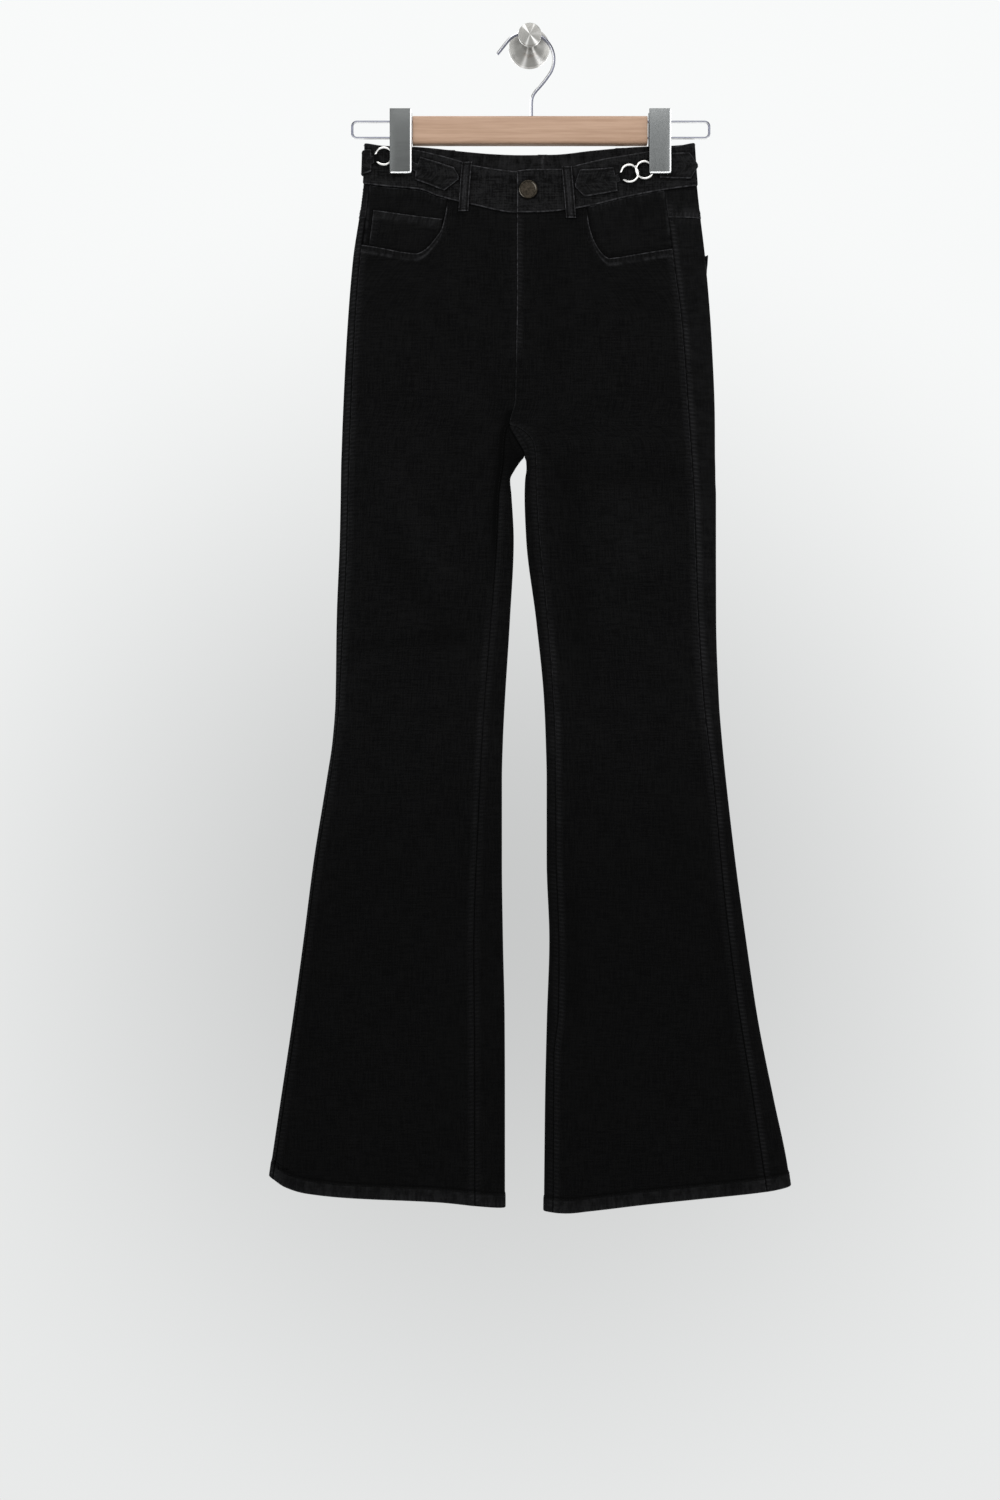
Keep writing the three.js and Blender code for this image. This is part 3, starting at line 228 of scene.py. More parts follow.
def makeChrome():
    # A painted highlight: the wire's colour is bright on the side that faces one way and dark on the other
    s, c = Shader("chromedWire"), chromeLook
    paintedHighlight = s.ramp(s.attribute("facing"), *c["paintedHighlight"])
    return s.finish(Base_Color=s.blend(paintedHighlight, c["dark"], c["bright"]), Metallic=1.0, Roughness=0.26)


brushedLook = {
    "satinSteel": {"colour": (0.122, 0.127, 0.126, 1), "roughness": (0.3, 0.42), "lines": (1, 1, 14)},
    "brushedSteel": {"colour": (0.185, 0.192, 0.193, 1), "roughness": (0.2, 0.5), "lines": (30, 30, 7)},
    # The last look is near white: a painted highlight for the clips' rolled edges
    "rolledEdgeHighlight": {"colour": (0.95, 0.96, 0.97, 1), "roughness": (0.3, 0.4), "lines": (1, 1, 14)},
    "scale": 60, "depth": 0.00006,
}


def makeBrushed(name):
    s, c, look = Shader(name), brushedLook, brushedLook[name]
    lines = s.noise(s.stretch(s.place(), look["lines"]), c["scale"], 4, 0.6)
    roughness = s.ramp(lines, 0.3, 0.7, *look["roughness"])
    bumped = s.bump(lines, c["depth"], 0.5)
    return s.finish(Base_Color=look["colour"], Metallic=1.0, Roughness=roughness, Normal=bumped)


# Each painted reflection streak: its angle in radians, its width, its strength
turnedLook = {"dark": (0.2, 0.195, 0.18, 1), "bright": (1.0, 0.99, 0.97, 1), "base": 0.12,
              "rimHighlightFrom": (0.0206, 0.0211), "rim": 0.3, "ringScale": 2600, "waver": 0.12, "turn": 0.06,
              "reflectionStreaks": [(-0.93, 0.16, 1.0), (2.2, 0.13, 1.0), (1.15, 0.08, 0.35), (-1.9, 0.13, 0.5),
                          (0.1, 0.3, 0.15)], "depth": 0.00005}


def makeTurned():
    # Painted reflection: the bright sectors that metal brushed in rings shows in light, with a painted highlight
    # on the flange's rim
    s, c = Shader("turnedSteel"), turnedLook
    x, y, z = s.axes(s.place())
    angle = s.maths("ARCTAN2", z, x)
    radius = s.maths("SQRT", x * x + z * z)
    rings = s.noise(s.joined(radius * c["ringScale"], y * c["ringScale"]), 1.0, 3, 0.6)
    total = s.ramp(radius, *c["rimHighlightFrom"]) * c["rim"] + c["base"]
    for middle, wide, strength in c["reflectionStreaks"]:
        off = angle + rings * c["waver"] - (middle + c["turn"])
        total = total + s.maths("EXPONENT", off * off * (-1 / wide**2)) * strength
    return s.finish(Base_Color=s.blend(s.clamp(total), c["dark"], c["bright"]), Metallic=0.55, Roughness=0.34,
                    Normal=s.bump(rings, c["depth"], 0.5))


brassLook = {"dark": (0.027, 0.0225, 0.017, 1), "light": (0.05, 0.0415, 0.0315, 1),
             "rim": (0.34, 0.31, 0.27, 1), "spot": 420, "spots": (0.38, 0.64), "rimHighlightFrom": (0.8, 0.98),
             "roughness": (0.3, 0.7, 0.34, 0.5), "depth": 0.0001}


def makeBrass():
    s, c = Shader("antiqueBrass"), brassLook
    spot = s.noise(s.place(), c["spot"], 4, 0.6)
    colour = s.blend(s.ramp(spot, *c["spots"]), c["dark"], c["light"])
    # Painted highlight: the light rim colour on the side that faces the button's bright way
    colour = s.blend(s.ramp(s.attribute("facing"), *c["rimHighlightFrom"]), colour, c["rim"])
    return s.finish(Base_Color=colour, Metallic=1.0, Roughness=s.ramp(spot, *c["roughness"]),
                    Normal=s.bump(spot, c["depth"], 0.6))


beechLook = {"light": (0.485, 0.318, 0.222, 1), "dark": (0.39, 0.244, 0.161, 1), "grain": (5.5, 120, 210),
             "fleck": (38, 400, 620), "fleckShare": 0.25, "tone": (0.36, 0.66), "depth": 0.00012}


def makeBeech():
    s, c = Shader("beechWood"), beechLook
    grain = s.noise(s.stretch(s.place(), c["grain"]), 1.0, 5, 0.62)
    fleck = s.noise(s.stretch(s.place(), c["fleck"]), 1.0, 2, 0.5)
    tone = s.ramp(grain * (1 - c["fleckShare"]) + fleck * c["fleckShare"], *c["tone"])
    return s.finish(Base_Color=s.blend(tone, c["light"], c["dark"]), Roughness=0.5, Specular_IOR_Level=0.4,
                    Normal=s.bump(grain, c["depth"], 0.5))


denim = makeDenim("blackDenim", denimLook["panel"])
denimTrim = makeDenim("blackDenimTrim", denimLook["trim"])
thread, silver, chrome, brass, beech = makeThread(), makeSilver(), makeChrome(), makeBrass(), makeBeech()
satinSteel, brushedSteel, rollHighlightSteel = [
    makeBrushed(name) for name in ("satinSteel", "brushedSteel", "rolledEdgeHighlight")]
turnedSteel = makeTurned()
print("materials made")


# The garment's form, as named tables of its sizes
crotchZ, forkZ = -441.0, -409.0
hangY = -28.0
# Seams overlap by seamGap, so that no light shows through them
form = {
    "bodyBlend": 90, "foldRadius": 4.2, "thinFoldRadius": 3.2, "blunt": 2.4, "cloth": 1.3, "band": 2.6,
    "bandProud": 0.9, "seamGap": -0.1, "layGap": 0.35, "innerGap": 0.6, "hemHigh": 16, "hemProud": 0.7,
    "hemMeanZ": -1225.0,
}
# Clips press the waist flat towards the sides: across from, to, share, down from, to
pinch = {"across": (42, 124), "share": 0.71, "down": (-146, -241)}
foldEnd = 0.3
# Steps in from an edge, so that a turned edge comes out round
edgeSteps = (0, 0.12, 0.35, 0.7, 1.4, 2.6, 4.4, 7)
# height, side fold, inner fold
rightLeg = [
    (-112, -174.5, -5.6), (-149, -175.8, -5.6), (-182, -179.5, -5.6), (-233, -187, -5.6), (-317, -193.6, -5.6),
    (-402, -197.8, -5.6), (-441, -199.2, -5.75), (-446, -199.4, -9.5), (-454, -199.6, -15), (-466, -199.8, -20.6),
    (-482, -200, -19.2), (-530, -201, -16.8), (-614, -204.2, -20.8), (-699, -205.4, -26.1), (-741, -208.4, -28.2),
    (-784, -214.8, -29.3), (-869, -228.4, -29.3), (-953, -239.2, -28.2), (-1038, -250.8, -26.4),
    (-1123, -263.5, -26.1), (-1187, -273, -26.1), (-1245, -281, -26.1),
]
leftLeg = [
    (-112, 174.4, -5.6), (-149, 177, -5.6), (-182, 180.4, -5.6), (-233, 186.4, -5.6), (-317, 193, -5.6),
    (-402, 196.4, -5.6), (-441, 196.6, -5.45), (-446, 196.7, -3.8), (-454, 196.9, -3.4), (-466, 197, -4.9),
    (-482, 197.6, -5.4), (-530, 197.6, -3.6), (-614, 197.8, 6.8), (-699, 200.7, 15.2), (-741, 203.9, 17),
    (-784, 208.2, 18), (-869, 218, 18), (-953, 229.4, 20.8), (-1038, 242.1, 18.2), (-1123, 259, 16.3),
    (-1187, 272.5, 15.6), (-1245, 281, 15),
]
# height, crotch seam in front, seam behind
centreLine = [
    (-112, -13.5, 14), (-280, -13.5, 13), (-333, -14.5, 10.5), (-383, -15.6, 6.5), (-409, -21.4, 2),
    (-424, -14, -1.5), (-441, -5.6, -5.6), (-445, -5.6, -5.6),
]
depthTable = [
    (-112, 13), (-180, 14.5), (-260, 16.5), (-340, 17), (-441, 15.5), (-600, 12.5), (-760, 10), (-960, 10.5),
    (-1120, 11.5), (-1245, 12.5),
]
rightInseam = [
    (-409, -21.6), (-411.5, -24), (-426, -26.8), (-450, -28.3), (-482, -32.5), (-528, -34.6), (-636, -43),
    (-719, -49.3), (-824, -54.6), (-963, -59.3), (-1076, -58.5), (-1245, -58.3),
]
leftInseam = [
    (-409, -21.2), (-411.5, -12.5), (-415, -6.5), (-421, 0), (-428, 4.2), (-441, 6.4), (-482, 7.6), (-528, 10.4),
    (-601, 17.7), (-678, 23.9), (-740, 27.1), (-866, 28.2), (-963, 31.2), (-1030, 30.4), (-1076, 25.8),
    (-1245, 25),
]
rightOutseam = [
    (-140, -169.5), (-183, -173), (-233, -179.5), (-308, -185), (-434, -190.4), (-558, -193.8), (-636, -198),
    (-699, -201.2), (-760, -207.4), (-869, -224.6), (-1038, -247), (-1245, -277),
]
leftOutseam = [
    (-140, 140), (-182, 145.5), (-243, 152.8), (-298, 160.1), (-388, 166.8), (-486, 173.2), (-601, 177.3),
    (-698, 183.5), (-786, 194), (-897, 204.4), (-1014, 218.8), (-1114, 234.6), (-1245, 254),
]
# edges across the garment: across, height
frontTop = [
    (-176, -109), (-156, -112.4), (-123, -116.4), (-97, -122.6), (-72.6, -130.5), (-56.7, -135.8),
    (-15.6, -141.2), (1.3, -139.5), (31.9, -139.5), (44.6, -136.5), (81.5, -126.9), (123.7, -118.6),
    (150, -114), (176, -108.5),
]
backTop = [
    (-176, -109), (-156, -110.6), (-124, -111.6), (-70.8, -115), (-8, -118.1), (26, -117.6), (66.6, -113.9),
    (125, -111.4), (150, -110.6), (176, -108.5),
]
frontWaistSeam = [
    (-182, -151.5), (-156, -155), (-116.8, -158.7), (-96.8, -166.6), (-59.9, -177.2), (-15.6, -185.6),
    (8.7, -185.3), (38.2, -182.9), (63.5, -178.2), (105.7, -166.6), (142.6, -159.3), (182, -154),
]
backWaistSeam = [
    (-182, -151.5), (-124, -152.5), (-70, -157), (10, -160.5), (70, -157), (125, -152.5), (182, -154),
]
hemLine = [
    (-281, -1202), (-273.4, -1206.5), (-260.5, -1213.6), (-237.7, -1220), (-190.8, -1224.9), (-96.2, -1229.4),
    (-58.8, -1233.3), (-28.2, -1236.5), (15, -1240.2), (36.8, -1241.4), (64.7, -1238.6), (121.7, -1231.8),
    (178.2, -1226), (249.4, -1218.6), (270.5, -1215.4), (281, -1213),
]
# share of the front's width from the centre seam, height on the right, height on the left
pocketMouth = [
    (0.472, -186, -199), (0.492, -202.5, -212.5), (0.535, -214.5, -226.7), (0.585, -224.5, -234),
    (0.64, -228.8, -233.2), (0.735, -227, -230.6), (0.87, -222.3, -226.7), (1, -218, -223.4),
]
mouthStart, mouthCorner = 0.46, 0.472
firstHeight = -170.0
# face (-1 front, 1 back), from x and z, to x and z, width, rise: soft ridges and troughs
mainFolds = [
    (-1, 37, -445, 62, -690, 13, -3.2), (-1, 24, -205, 26, -400, 12, -1.8),
    (-1, 100, -480, 106, -570, 34, 2.6), (-1, 30, -462, 165, -468, 16, -2.2),
    (-1, -158, -525, -80, -640, 15, -3), (-1, -158, -440, -88, -585, 15, 2.2),
    (-1, -188, -645, -76, -634, 9, -2.6), (-1, 44, -905, 50, -1030, 11, -2.6),
    (-1, -50, -350, -26, -402, 12, -1.8), (1, -40, -440, -74, -660, 15, -3),
    (1, 46, -430, 84, -640, 14, -3), (1, -30, -400, -120, -452, 14, -2.6),
    (1, 30, -396, 128, -448, 15, -2.6), (1, 60, -700, 170, -716, 11, -2.2),
    (1, -176, -712, -62, -700, 11, -2.2), (1, -92, -860, -104, -1060, 18, -2.4),
    (1, 130, -900, 148, -1090, 18, -2.4),
]
# smaller creases that the solids leave out
smallFolds = [
    (-1, 40, -712, 140, -726, 7, -0.9), (-1, 96, -738, 182, -722, 6, 0.7),
    (-1, -182, -704, -90, -716, 7, -0.9), (-1, -150, -392, -60, -412, 8, -0.7),
    (-1, -96, -360, -34, -396, 7, 0.8), (-1, 20, -408, 96, -392, 7, -0.9),
    (-1, 30, -426, 118, -428, 6, 0.7), (-1, 8, -300, 44, -322, 6, -0.8), (-1, 4, -262, 34, -278, 5, 0.6),
    (-1, -60, -214, -28, -300, 10, -0.7), (-1, 70, -262, 150, -300, 12, -0.8),
    (-1, -170, -262, -90, -290, 12, -0.7), (-1, -130, -800, -108, -1010, 16, 1.1),
    (-1, 120, -800, 142, -1060, 20, 1.0), (-1, 190, -900, 222, -1100, 12, -1.0),
    (-1, -226, -920, -246, -1120, 12, -0.9), (-1, 66, -560, 150, -590, 9, -0.8),
    (-1, -176, -560, -110, -540, 8, 0.7), (1, 18, -300, 90, -330, 9, -0.9),
    (1, -100, -390, -20, -360, 8, -0.8), (1, -180, -470, -90, -490, 9, 0.8),
    (1, 80, -480, 176, -500, 9, -0.9), (1, 70, -740, 160, -728, 7, 0.8),
    (1, -170, -740, -76, -730, 7, 0.8), (1, 90, -560, 160, -610, 10, -0.9),
    (1, -170, -600, -100, -560, 10, -0.8), (1, 60, -860, 76, -1090, 16, 1.0),
    (1, -190, -880, -214, -1090, 14, -1.0), (1, 196, -900, 220, -1080, 12, 0.9),
    (1, -60, -860, -64, -1010, 10, 0.8),
]


def column(rows, x, y):
    # A smooth curve through two columns of a table, with no overshoot between rows
    xs = np.array([row[x] for row in rows], float)
    ys = np.array([row[y] for row in rows], float)
    if xs[0] > xs[-1]:
        xs, ys = xs[::-1], ys[::-1]
    step = np.diff(xs)
    slope = np.diff(ys) / step
    before, after = slope[:-1], slope[1:]
    same = before * after > 0
    bend = np.where(same, 2 * before * after / np.where(same, before + after, 1), 0)
    bend = np.concatenate([[slope[0]], bend, [slope[-1]]])

    def at(value):
        value = np.clip(value, xs[0], xs[-1])
        i = np.clip(np.searchsorted(xs, value, side="right") - 1, 0, len(step) - 1)
        t = (value - xs[i]) / step[i]
        rise = ys[i] + (ys[i + 1] - ys[i]) * t * t * (3 - 2 * t)
        return rise + step[i] * (t * (1 - t) ** 2 * bend[i] - t * t * (1 - t) * bend[i + 1])

    return at


halves = {
    "right": {"side": -1, "outer": column(rightLeg, 0, 1), "inner": column(rightLeg, 0, 2),
              "inseam": column(rightInseam, 0, 1), "outseam": column(rightOutseam, 0, 1),
              "mouth": column(pocketMouth, 0, 1)},
    "left": {"side": 1, "outer": column(leftLeg, 0, 1), "inner": column(leftLeg, 0, 2),
             "inseam": column(leftInseam, 0, 1), "outseam": column(leftOutseam, 0, 1),
             "mouth": column(pocketMouth, 0, 2)},
}
centreFront, centreBack = column(centreLine, 0, 1), column(centreLine, 0, 2)
depthAt = column(depthTable, 0, 1)
frontTopZ, backTopZ = column(frontTop, 0, 1), column(backTop, 0, 1)
frontSeamZ, backSeamZ = column(frontWaistSeam, 0, 1), column(backWaistSeam, 0, 1)
hemZ = column(hemLine, 0, 1)


def ease(t):
    t = np.clip(t, 0, 1)
    return t * t * (3 - 2 * t)


def mix(a, b, t):
    return a + (b - a) * t


def between(value, start, end):
    # 0 at the start, 1 at the end, eased
    return ease((value - start) / (end - start))


def bell(off, width):
    return np.exp(-((off / width) ** 2))


def foldsAt(face, x, z):
    total = np.zeros(np.broadcast(face, x, z).shape)
    for side, x0, z0, x1, z1, width, rise in mainFolds + smallFolds:
        length = math.hypot(x1 - x0, z1 - z0)
        ux, uz = (x1 - x0) / length, (z1 - z0) / length
        along = (x - x0) * ux + (z - z0) * uz
        off = (x - x0) * uz - (z - z0) * ux
        soft = foldEnd * length
        ends = ease(along / soft + 0.5) * ease((length - along) / soft + 0.5)
        total = total + np.where(face == side, rise * ends * bell(off, width), 0)
    return total


def pinchAt(x, z):
    return 1 - pinch["share"] * between(np.abs(x), *pinch["across"]) * (1 - between(z, *pinch["down"]))


def halfDepth(face, x, z):
    return depthAt(z) * pinchAt(x, z) + foldsAt(face, x, z)


def innerX(half, face, z):
    above = np.where(face < 0, centreFront(z), centreBack(z))
    return np.where(z > crotchZ, above, half["inner"](z))


def sectionSquare(half, face, x, z):
    inner, outer = innerX(half, face, z), half["outer"](z)
    width = np.abs(outer - inner)
    depth = depthAt(z) * pinchAt(outer, z)
    radius = mix(form["thinFoldRadius"], form["foldRadius"], between(z, -150, -270))
    share = (x - inner) * half["side"] / width
    blunt = np.maximum(form["blunt"], 2 * width * radius / depth**2)
    leg = 1 - np.abs(2 * share - 1) ** np.maximum(form["blunt"], blunt / 2)
    body = 1 - np.abs(share) ** blunt
    t = np.clip((z - crotchZ) / form["bodyBlend"], 0, 1)
    return mix(leg, body, t * (2 - t))


def skin(half, face, x, z):
    # Points of the cloth's outer face and their normals
    face, x, z = np.broadcast_arrays(np.asarray(face, float), np.asarray(x, float), np.asarray(z, float))
    y = hangY + face * halfDepth(face, x, z) * np.sqrt(np.maximum(0, sectionSquare(half, face, x, z)))
    d = 0.05

    def level(px, py, pz):
        return ((py - hangY) / halfDepth(face, px, pz)) ** 2 - sectionSquare(half, face, px, pz)

    gradient = np.stack([
        level(x + d, y, z) - level(x - d, y, z),
        level(x, y + d, z) - level(x, y - d, z),
        level(x, y, z + d) - level(x, y, z - d),
    ], axis=-1)
    nearCentre = np.clip(np.abs(x - innerX(half, face, z)) / 1.5, 0, 1)
    gradient[..., 0] *= np.where(z > crotchZ - 0.01, nearCentre, 1)
    atCrotch = (np.abs(z - crotchZ) < 0.01) & (nearCentre < 0.01)
    gradient[atCrotch] = (0, 0, -1)
    return np.stack([x, y, z], axis=-1), gradient / np.linalg.norm(gradient, axis=-1, keepdims=True)


def stations(length, step, near=edgeSteps):
    # Shares of a length, close together at its ends
    near = np.array(near)
    count = max(2, round((length - 2 * near[-1]) / step))
    middle = np.linspace(near[-1], length - near[-1], count + 1)
    return np.concatenate([near[:-1], middle, (length - near[:-1])[::-1]]) / length


def gridQuads(rows, columns, start=0):
    index = start + np.arange(rows * columns).reshape(rows, columns)
    return np.stack([index[:-1, :-1], index[:-1, 1:], index[1:, 1:], index[1:, :-1]], axis=-1).reshape(-1, 4)


def meshOf(name, points, faces, material, uv=None, attributes=None, smooth=True):
    mesh = bpy.data.meshes.new(name)
    mesh.from_pydata((np.asarray(points) * millimetre).tolist(), [], faces)
    if uv is not None:
        layer = mesh.uv_layers.new(name="cloth")
        loops = np.zeros(len(mesh.loops), np.int32)
        mesh.loops.foreach_get("vertex_index", loops)
        layer.data.foreach_set("uv", np.asarray(uv, np.float32)[loops].ravel())
    for key, values in (attributes or {}).items():
        mesh.attributes.new(key, "FLOAT", "POINT").data.foreach_set("value", np.asarray(values, np.float32))
    mesh.polygons.foreach_set("use_smooth", [smooth] * len(mesh.polygons))
    mesh.materials.append(material)
    made = bpy.data.objects.new(name, mesh)
    scene.collection.objects.link(made)
    return made


def welded(points, quads):
    # Joins grid points that share a place
    weld = 0.002
    keys = np.round(points / weld).astype(np.int64)
    _, first, back = np.unique(keys, axis=0, return_index=True, return_inverse=True)
    order = np.argsort(first)
    rank = np.empty_like(order)
    rank[order] = np.arange(len(order))
    return first[order], rank[back.reshape(-1)][quads]


def boundaryOf(quads):
    edges = {}
    for quad in quads.tolist():
        for a, b in zip(quad, quad[1:] + quad[:1]):
            if a == b:
                continue
            if (b, a) in edges:
                del edges[(b, a)]
            else:
                edges[(a, b)] = True
    return list(edges)


def seamDistance(points, edges):
    # Distance to the nearest edge of a panel, and how far along that edge
    spacing = 0.12
    after = {a: b for a, b in edges}
    along, total = {}, 0.0
    left = set(after)
    while left:
        a = next(iter(left))
        while a in left:
            left.discard(a)
            b = after[a]
            long = float(np.linalg.norm(points[b] - points[a]))
            along[a] = (b, total, long)
            total += long
            a = b
    samples, places = [], []
    for a, (b, start, long) in along.items():
        count = max(1, int(long / spacing))
        t = np.arange(count)[:, None] / count
        samples.append(points[a] + (points[b] - points[a]) * t)
        places.append(start + t[:, 0] * long)
    samples, places = np.concatenate(samples), np.concatenate(places)
    tree = KDTree(len(samples))
    for i, p in enumerate(samples.tolist()):
        tree.insert(p, i)
    tree.balance()
    distance, place = np.zeros(len(points)), np.zeros(len(points))
    for i, p in enumerate(points.tolist()):
        _, found, far = tree.find(p)
        distance[i] = far
        place[i] = places[found]
    return distance, place


# Fold ridges are rubbed light; fold troughs get painted shade
foldWearAndShade = {"ridge": 0.012, "trough": 0.085}
edgeWearAndShade = (1.45, 0.35)


def shell(name, grids, thick, material, nodes=(), innerTone=0.0):
    # A cloth wall with rounded edges from grids of places on the garment. Each grid is a dictionary with
    # half, face, x, z, lift and, where they differ, u, thick, tone (lighter for wear and painted highlight,
    # darker for painted shade), edge (the same along the panel's edges: light wear where positive, painted shade
    # where negative) and pull (pucker beside the edges)
    points, normals, uvs, values, quads, start = [], [], [], [], [], 0
    for grid in grids:
        g = {"u": 0, "thick": thick, "tone": 0.0, "edge": 0.7, "pull": 0.6, **grid}
        p, n = skin(g["half"], g["face"], g["x"], g["z"])
        rows, columns = p.shape[:2]
        steps = np.linalg.norm(np.diff(p, axis=1), axis=-1)
        across = np.concatenate([np.zeros((rows, 1)), np.cumsum(steps, 1)], 1)
        uvs.append(np.stack([across + g["u"], p[..., 2]], -1).reshape(-1, 2))
        points.append(p.reshape(-1, 3))
        normals.append(n.reshape(-1, 3))
        folds = foldsAt(g["face"], *np.broadcast_arrays(g["x"], g["z"]))
        # Painted shade in the troughs of folds, light wear on their ridges
        g["tone"] = g["tone"] + folds * np.where(folds > 0, foldWearAndShade["ridge"], foldWearAndShade["trough"])
        values.append(np.stack([np.broadcast_to(g[key], (rows, columns)).ravel()
                                for key in ("lift", "thick", "tone", "edge", "pull")], -1))
        quads.append(gridQuads(rows, columns, start))
        start += rows * columns
    points, normals, uvs, values, quads = [np.concatenate(v) for v in (points, normals, uvs, values, quads)]
    kept, quads = welded(points, quads)
    points, normals, uvs = points[kept], normals[kept], uvs[kept]
    lifts, thicks, tone, edge, pull = values[kept].T
    edges = boundaryOf(quads)
    distance, along = seamDistance(points, edges)
    rounded = 1 - np.clip(distance / (thicks / 2), 0, 1)
    onEdge = np.zeros(len(points), bool)
    onEdge[[a for a, _ in edges]] = True
    rounded[onEdge] = 1
    drop = thicks / 2 * (1 - np.sqrt(1 - rounded**2))
    outer = points + normals * (lifts - drop)[:, None]
    inner = points + normals * (lifts - thicks + drop)[:, None]
    count = len(points)
    innerIndex = np.where(onEdge, np.arange(count), count + np.cumsum(~onEdge) - 1)
    faces = [tuple(dict.fromkeys(q)) for q in quads.tolist()]
    faces += [tuple(dict.fromkeys(q[::-1])) for q in innerIndex[quads].tolist()]
    across = np.cross(outer[quads[:, 2]] - outer[quads[:, 0]], outer[quads[:, 3]] - outer[quads[:, 1]])
    facing = np.einsum("ij,ij->", across, normals[quads[:, 0]])
    faces = [f if facing > 0 else f[::-1] for f in faces if len(f) > 2]
    # Positive edge values are light wear along the edges; negative ones paint shade beside an overlapping piece
    tone = tone + edge * between(distance, *edgeWearAndShade)

    def both(v, onInner=0.0):
        # Values for the two walls, which share the points of the edge
        return np.concatenate([v, v[~onEdge] + onInner])

    made = meshOf(name, np.concatenate([outer, inner[~onEdge]]), faces, material, both(uvs), {
        "seam": both(distance), "along": both(along), "pull": both(pull), "tone": both(tone, innerTone)})
    print(name, len(faces), "faces")
    return finishPiece(made, nodes)


def finishPiece(made, nodes=()):
    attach(made, "root")
    if nodes:
        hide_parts(*nodes)
    return made


def declareCloth(piece, width, length, restsOn, share=0.9):
    width * length * share


def byNearest(*pairs):
    # Of several distances, the value that goes with the least
    distances = np.stack(np.broadcast_arrays(*[d for d, _ in pairs]))
    values = np.stack([np.broadcast_to(v, distances.shape[1:]) for _, v in pairs])
    return np.take_along_axis(values, distances.argmin(0)[None], 0)[0]


# Fronts
frontCut = {
    "width": 176, "columnStep": 3.2, "rowStep": 4.0, "mouthColumns": (0.452, 0.505, 0.0025),
    "felled": (8.6, 7.4), "felledRise": 0.45, "fly": (30, 6), "mouth": (11, 8), "mouthRise": 0.3,
    "flare": (-560, -680), "outseamEdge": 0.4, "hemEdge": 0.8, "outseamPull": 0.9,
    "mouthPull": 0.7, "hemPull": 0.6, "secondRow": (7.2, 1.1), "second": 0.36, "underBandShade": (-0.9, 3.2, 0.8),
    "crotch": (7, -590, -500, -392), "outside": (0.07, 30, -850, 150),
    "left": {"flyRise": 0.4, "flyEdge": (0.28, 1.0), "inseamEdge": (0.3, 0), "flyPull": 1.1, "legPull": 0.5,
             "crotchShade": 0},
    "right": {"flyRise": 0, "flyEdge": (-0.5, -0.5), "inseamEdge": (0, 0.1), "flyPull": 0.3, "legPull": 0.1,
              "crotchShade": -1.4},
}


def frontX(half, share, z):
    inner = np.where(z > forkZ, centreFront(z), half["inseam"](z)) + half["side"] * form["seamGap"] / 2
    return mix(inner, half["outseam"](z) - half["side"] * form["seamGap"] / 2, share)


def meets(xAt, edgeAt, z):
    # Height where a line of stations crosses an edge
    for _ in range(6):
        z = edgeAt(xAt(z))
    return z


def frontSeamAt(half, share):
    return meets(lambda z: frontX(half, share, z), frontSeamZ, np.full(share.shape, firstHeight))


def mouthAt(half, share):
    # The pocket mouth's steep start, then its curve
    corner = half["mouth"](mouthCorner)
    steep = mix(frontSeamAt(half, share), corner, (share - mouthStart) / (mouthCorner - mouthStart))
    return np.where(share < mouthCorner, steep, half["mouth"](share))


def frontTopAt(half, share):
    return np.where(share <= mouthStart, frontSeamAt(half, share) - form["seamGap"] / 2, mouthAt(half, share))


def rowsBetween(top, bottom, levels):
    # Heights of a panel's rows: common levels in the middle, close rows along both edges
    steps = 30
    upper = [top - d for d in edgeSteps]
    upper += [mix(top - edgeSteps[-1], np.full(top.shape, levels[0]), i / steps) for i in range(1, steps)]
    hemTop = bottom + form["hemHigh"]
    lower = [hemTop + d for d in (3.5, 1.6, 0.8, 0.3, 0)]
    lower += [mix(hemTop, bottom + edgeSteps[-1], t) for t in (0.33, 0.66)]
    lower += [bottom + d for d in edgeSteps[::-1]]
    middle = [np.full(top.shape, z) for z in levels]
    return np.stack(upper + middle + lower)


def panelLevels(step):
    nearCrotch = [-392, -396, -400, -403, -406, -409, -411.5, -413.5, -415.5, -418, -421, -424, -427, -430,
                  -432.5, -434.5, -436.2, -437.6, -438.8, -439.7, -440.4, crotchZ, -441.8, -443, -444.5, -446]
    return np.concatenate([np.arange(-300, -390, -step), nearCrotch, np.arange(-448.4, -484, -2.4),
                           np.arange(-487, -1196, -step)])


def hemLift(z, bottom):
    return form["hemProud"] * ease((bottom + form["hemHigh"] - z + 0.5) / 0.9)


legLook = {"hem": 0.1, "shinShade": -0.36, "from": (-700, -900), "line": -0.5, "lineWide": 0.9}


def legTone(z):
    # Painted shade from the knee down and in a dark line above the hem; the hem's fold is rubbed light
    c = legLook
    above = z - z[-1:] - form["hemHigh"]
    hem = ease(-above / 1.5)
    shinShade = c["shinShade"] * between(z, *c["from"]) * (1 - hem)
    return c["hem"] * hem + shinShade + c["line"] * bell(above - 0.5, c["lineWide"])


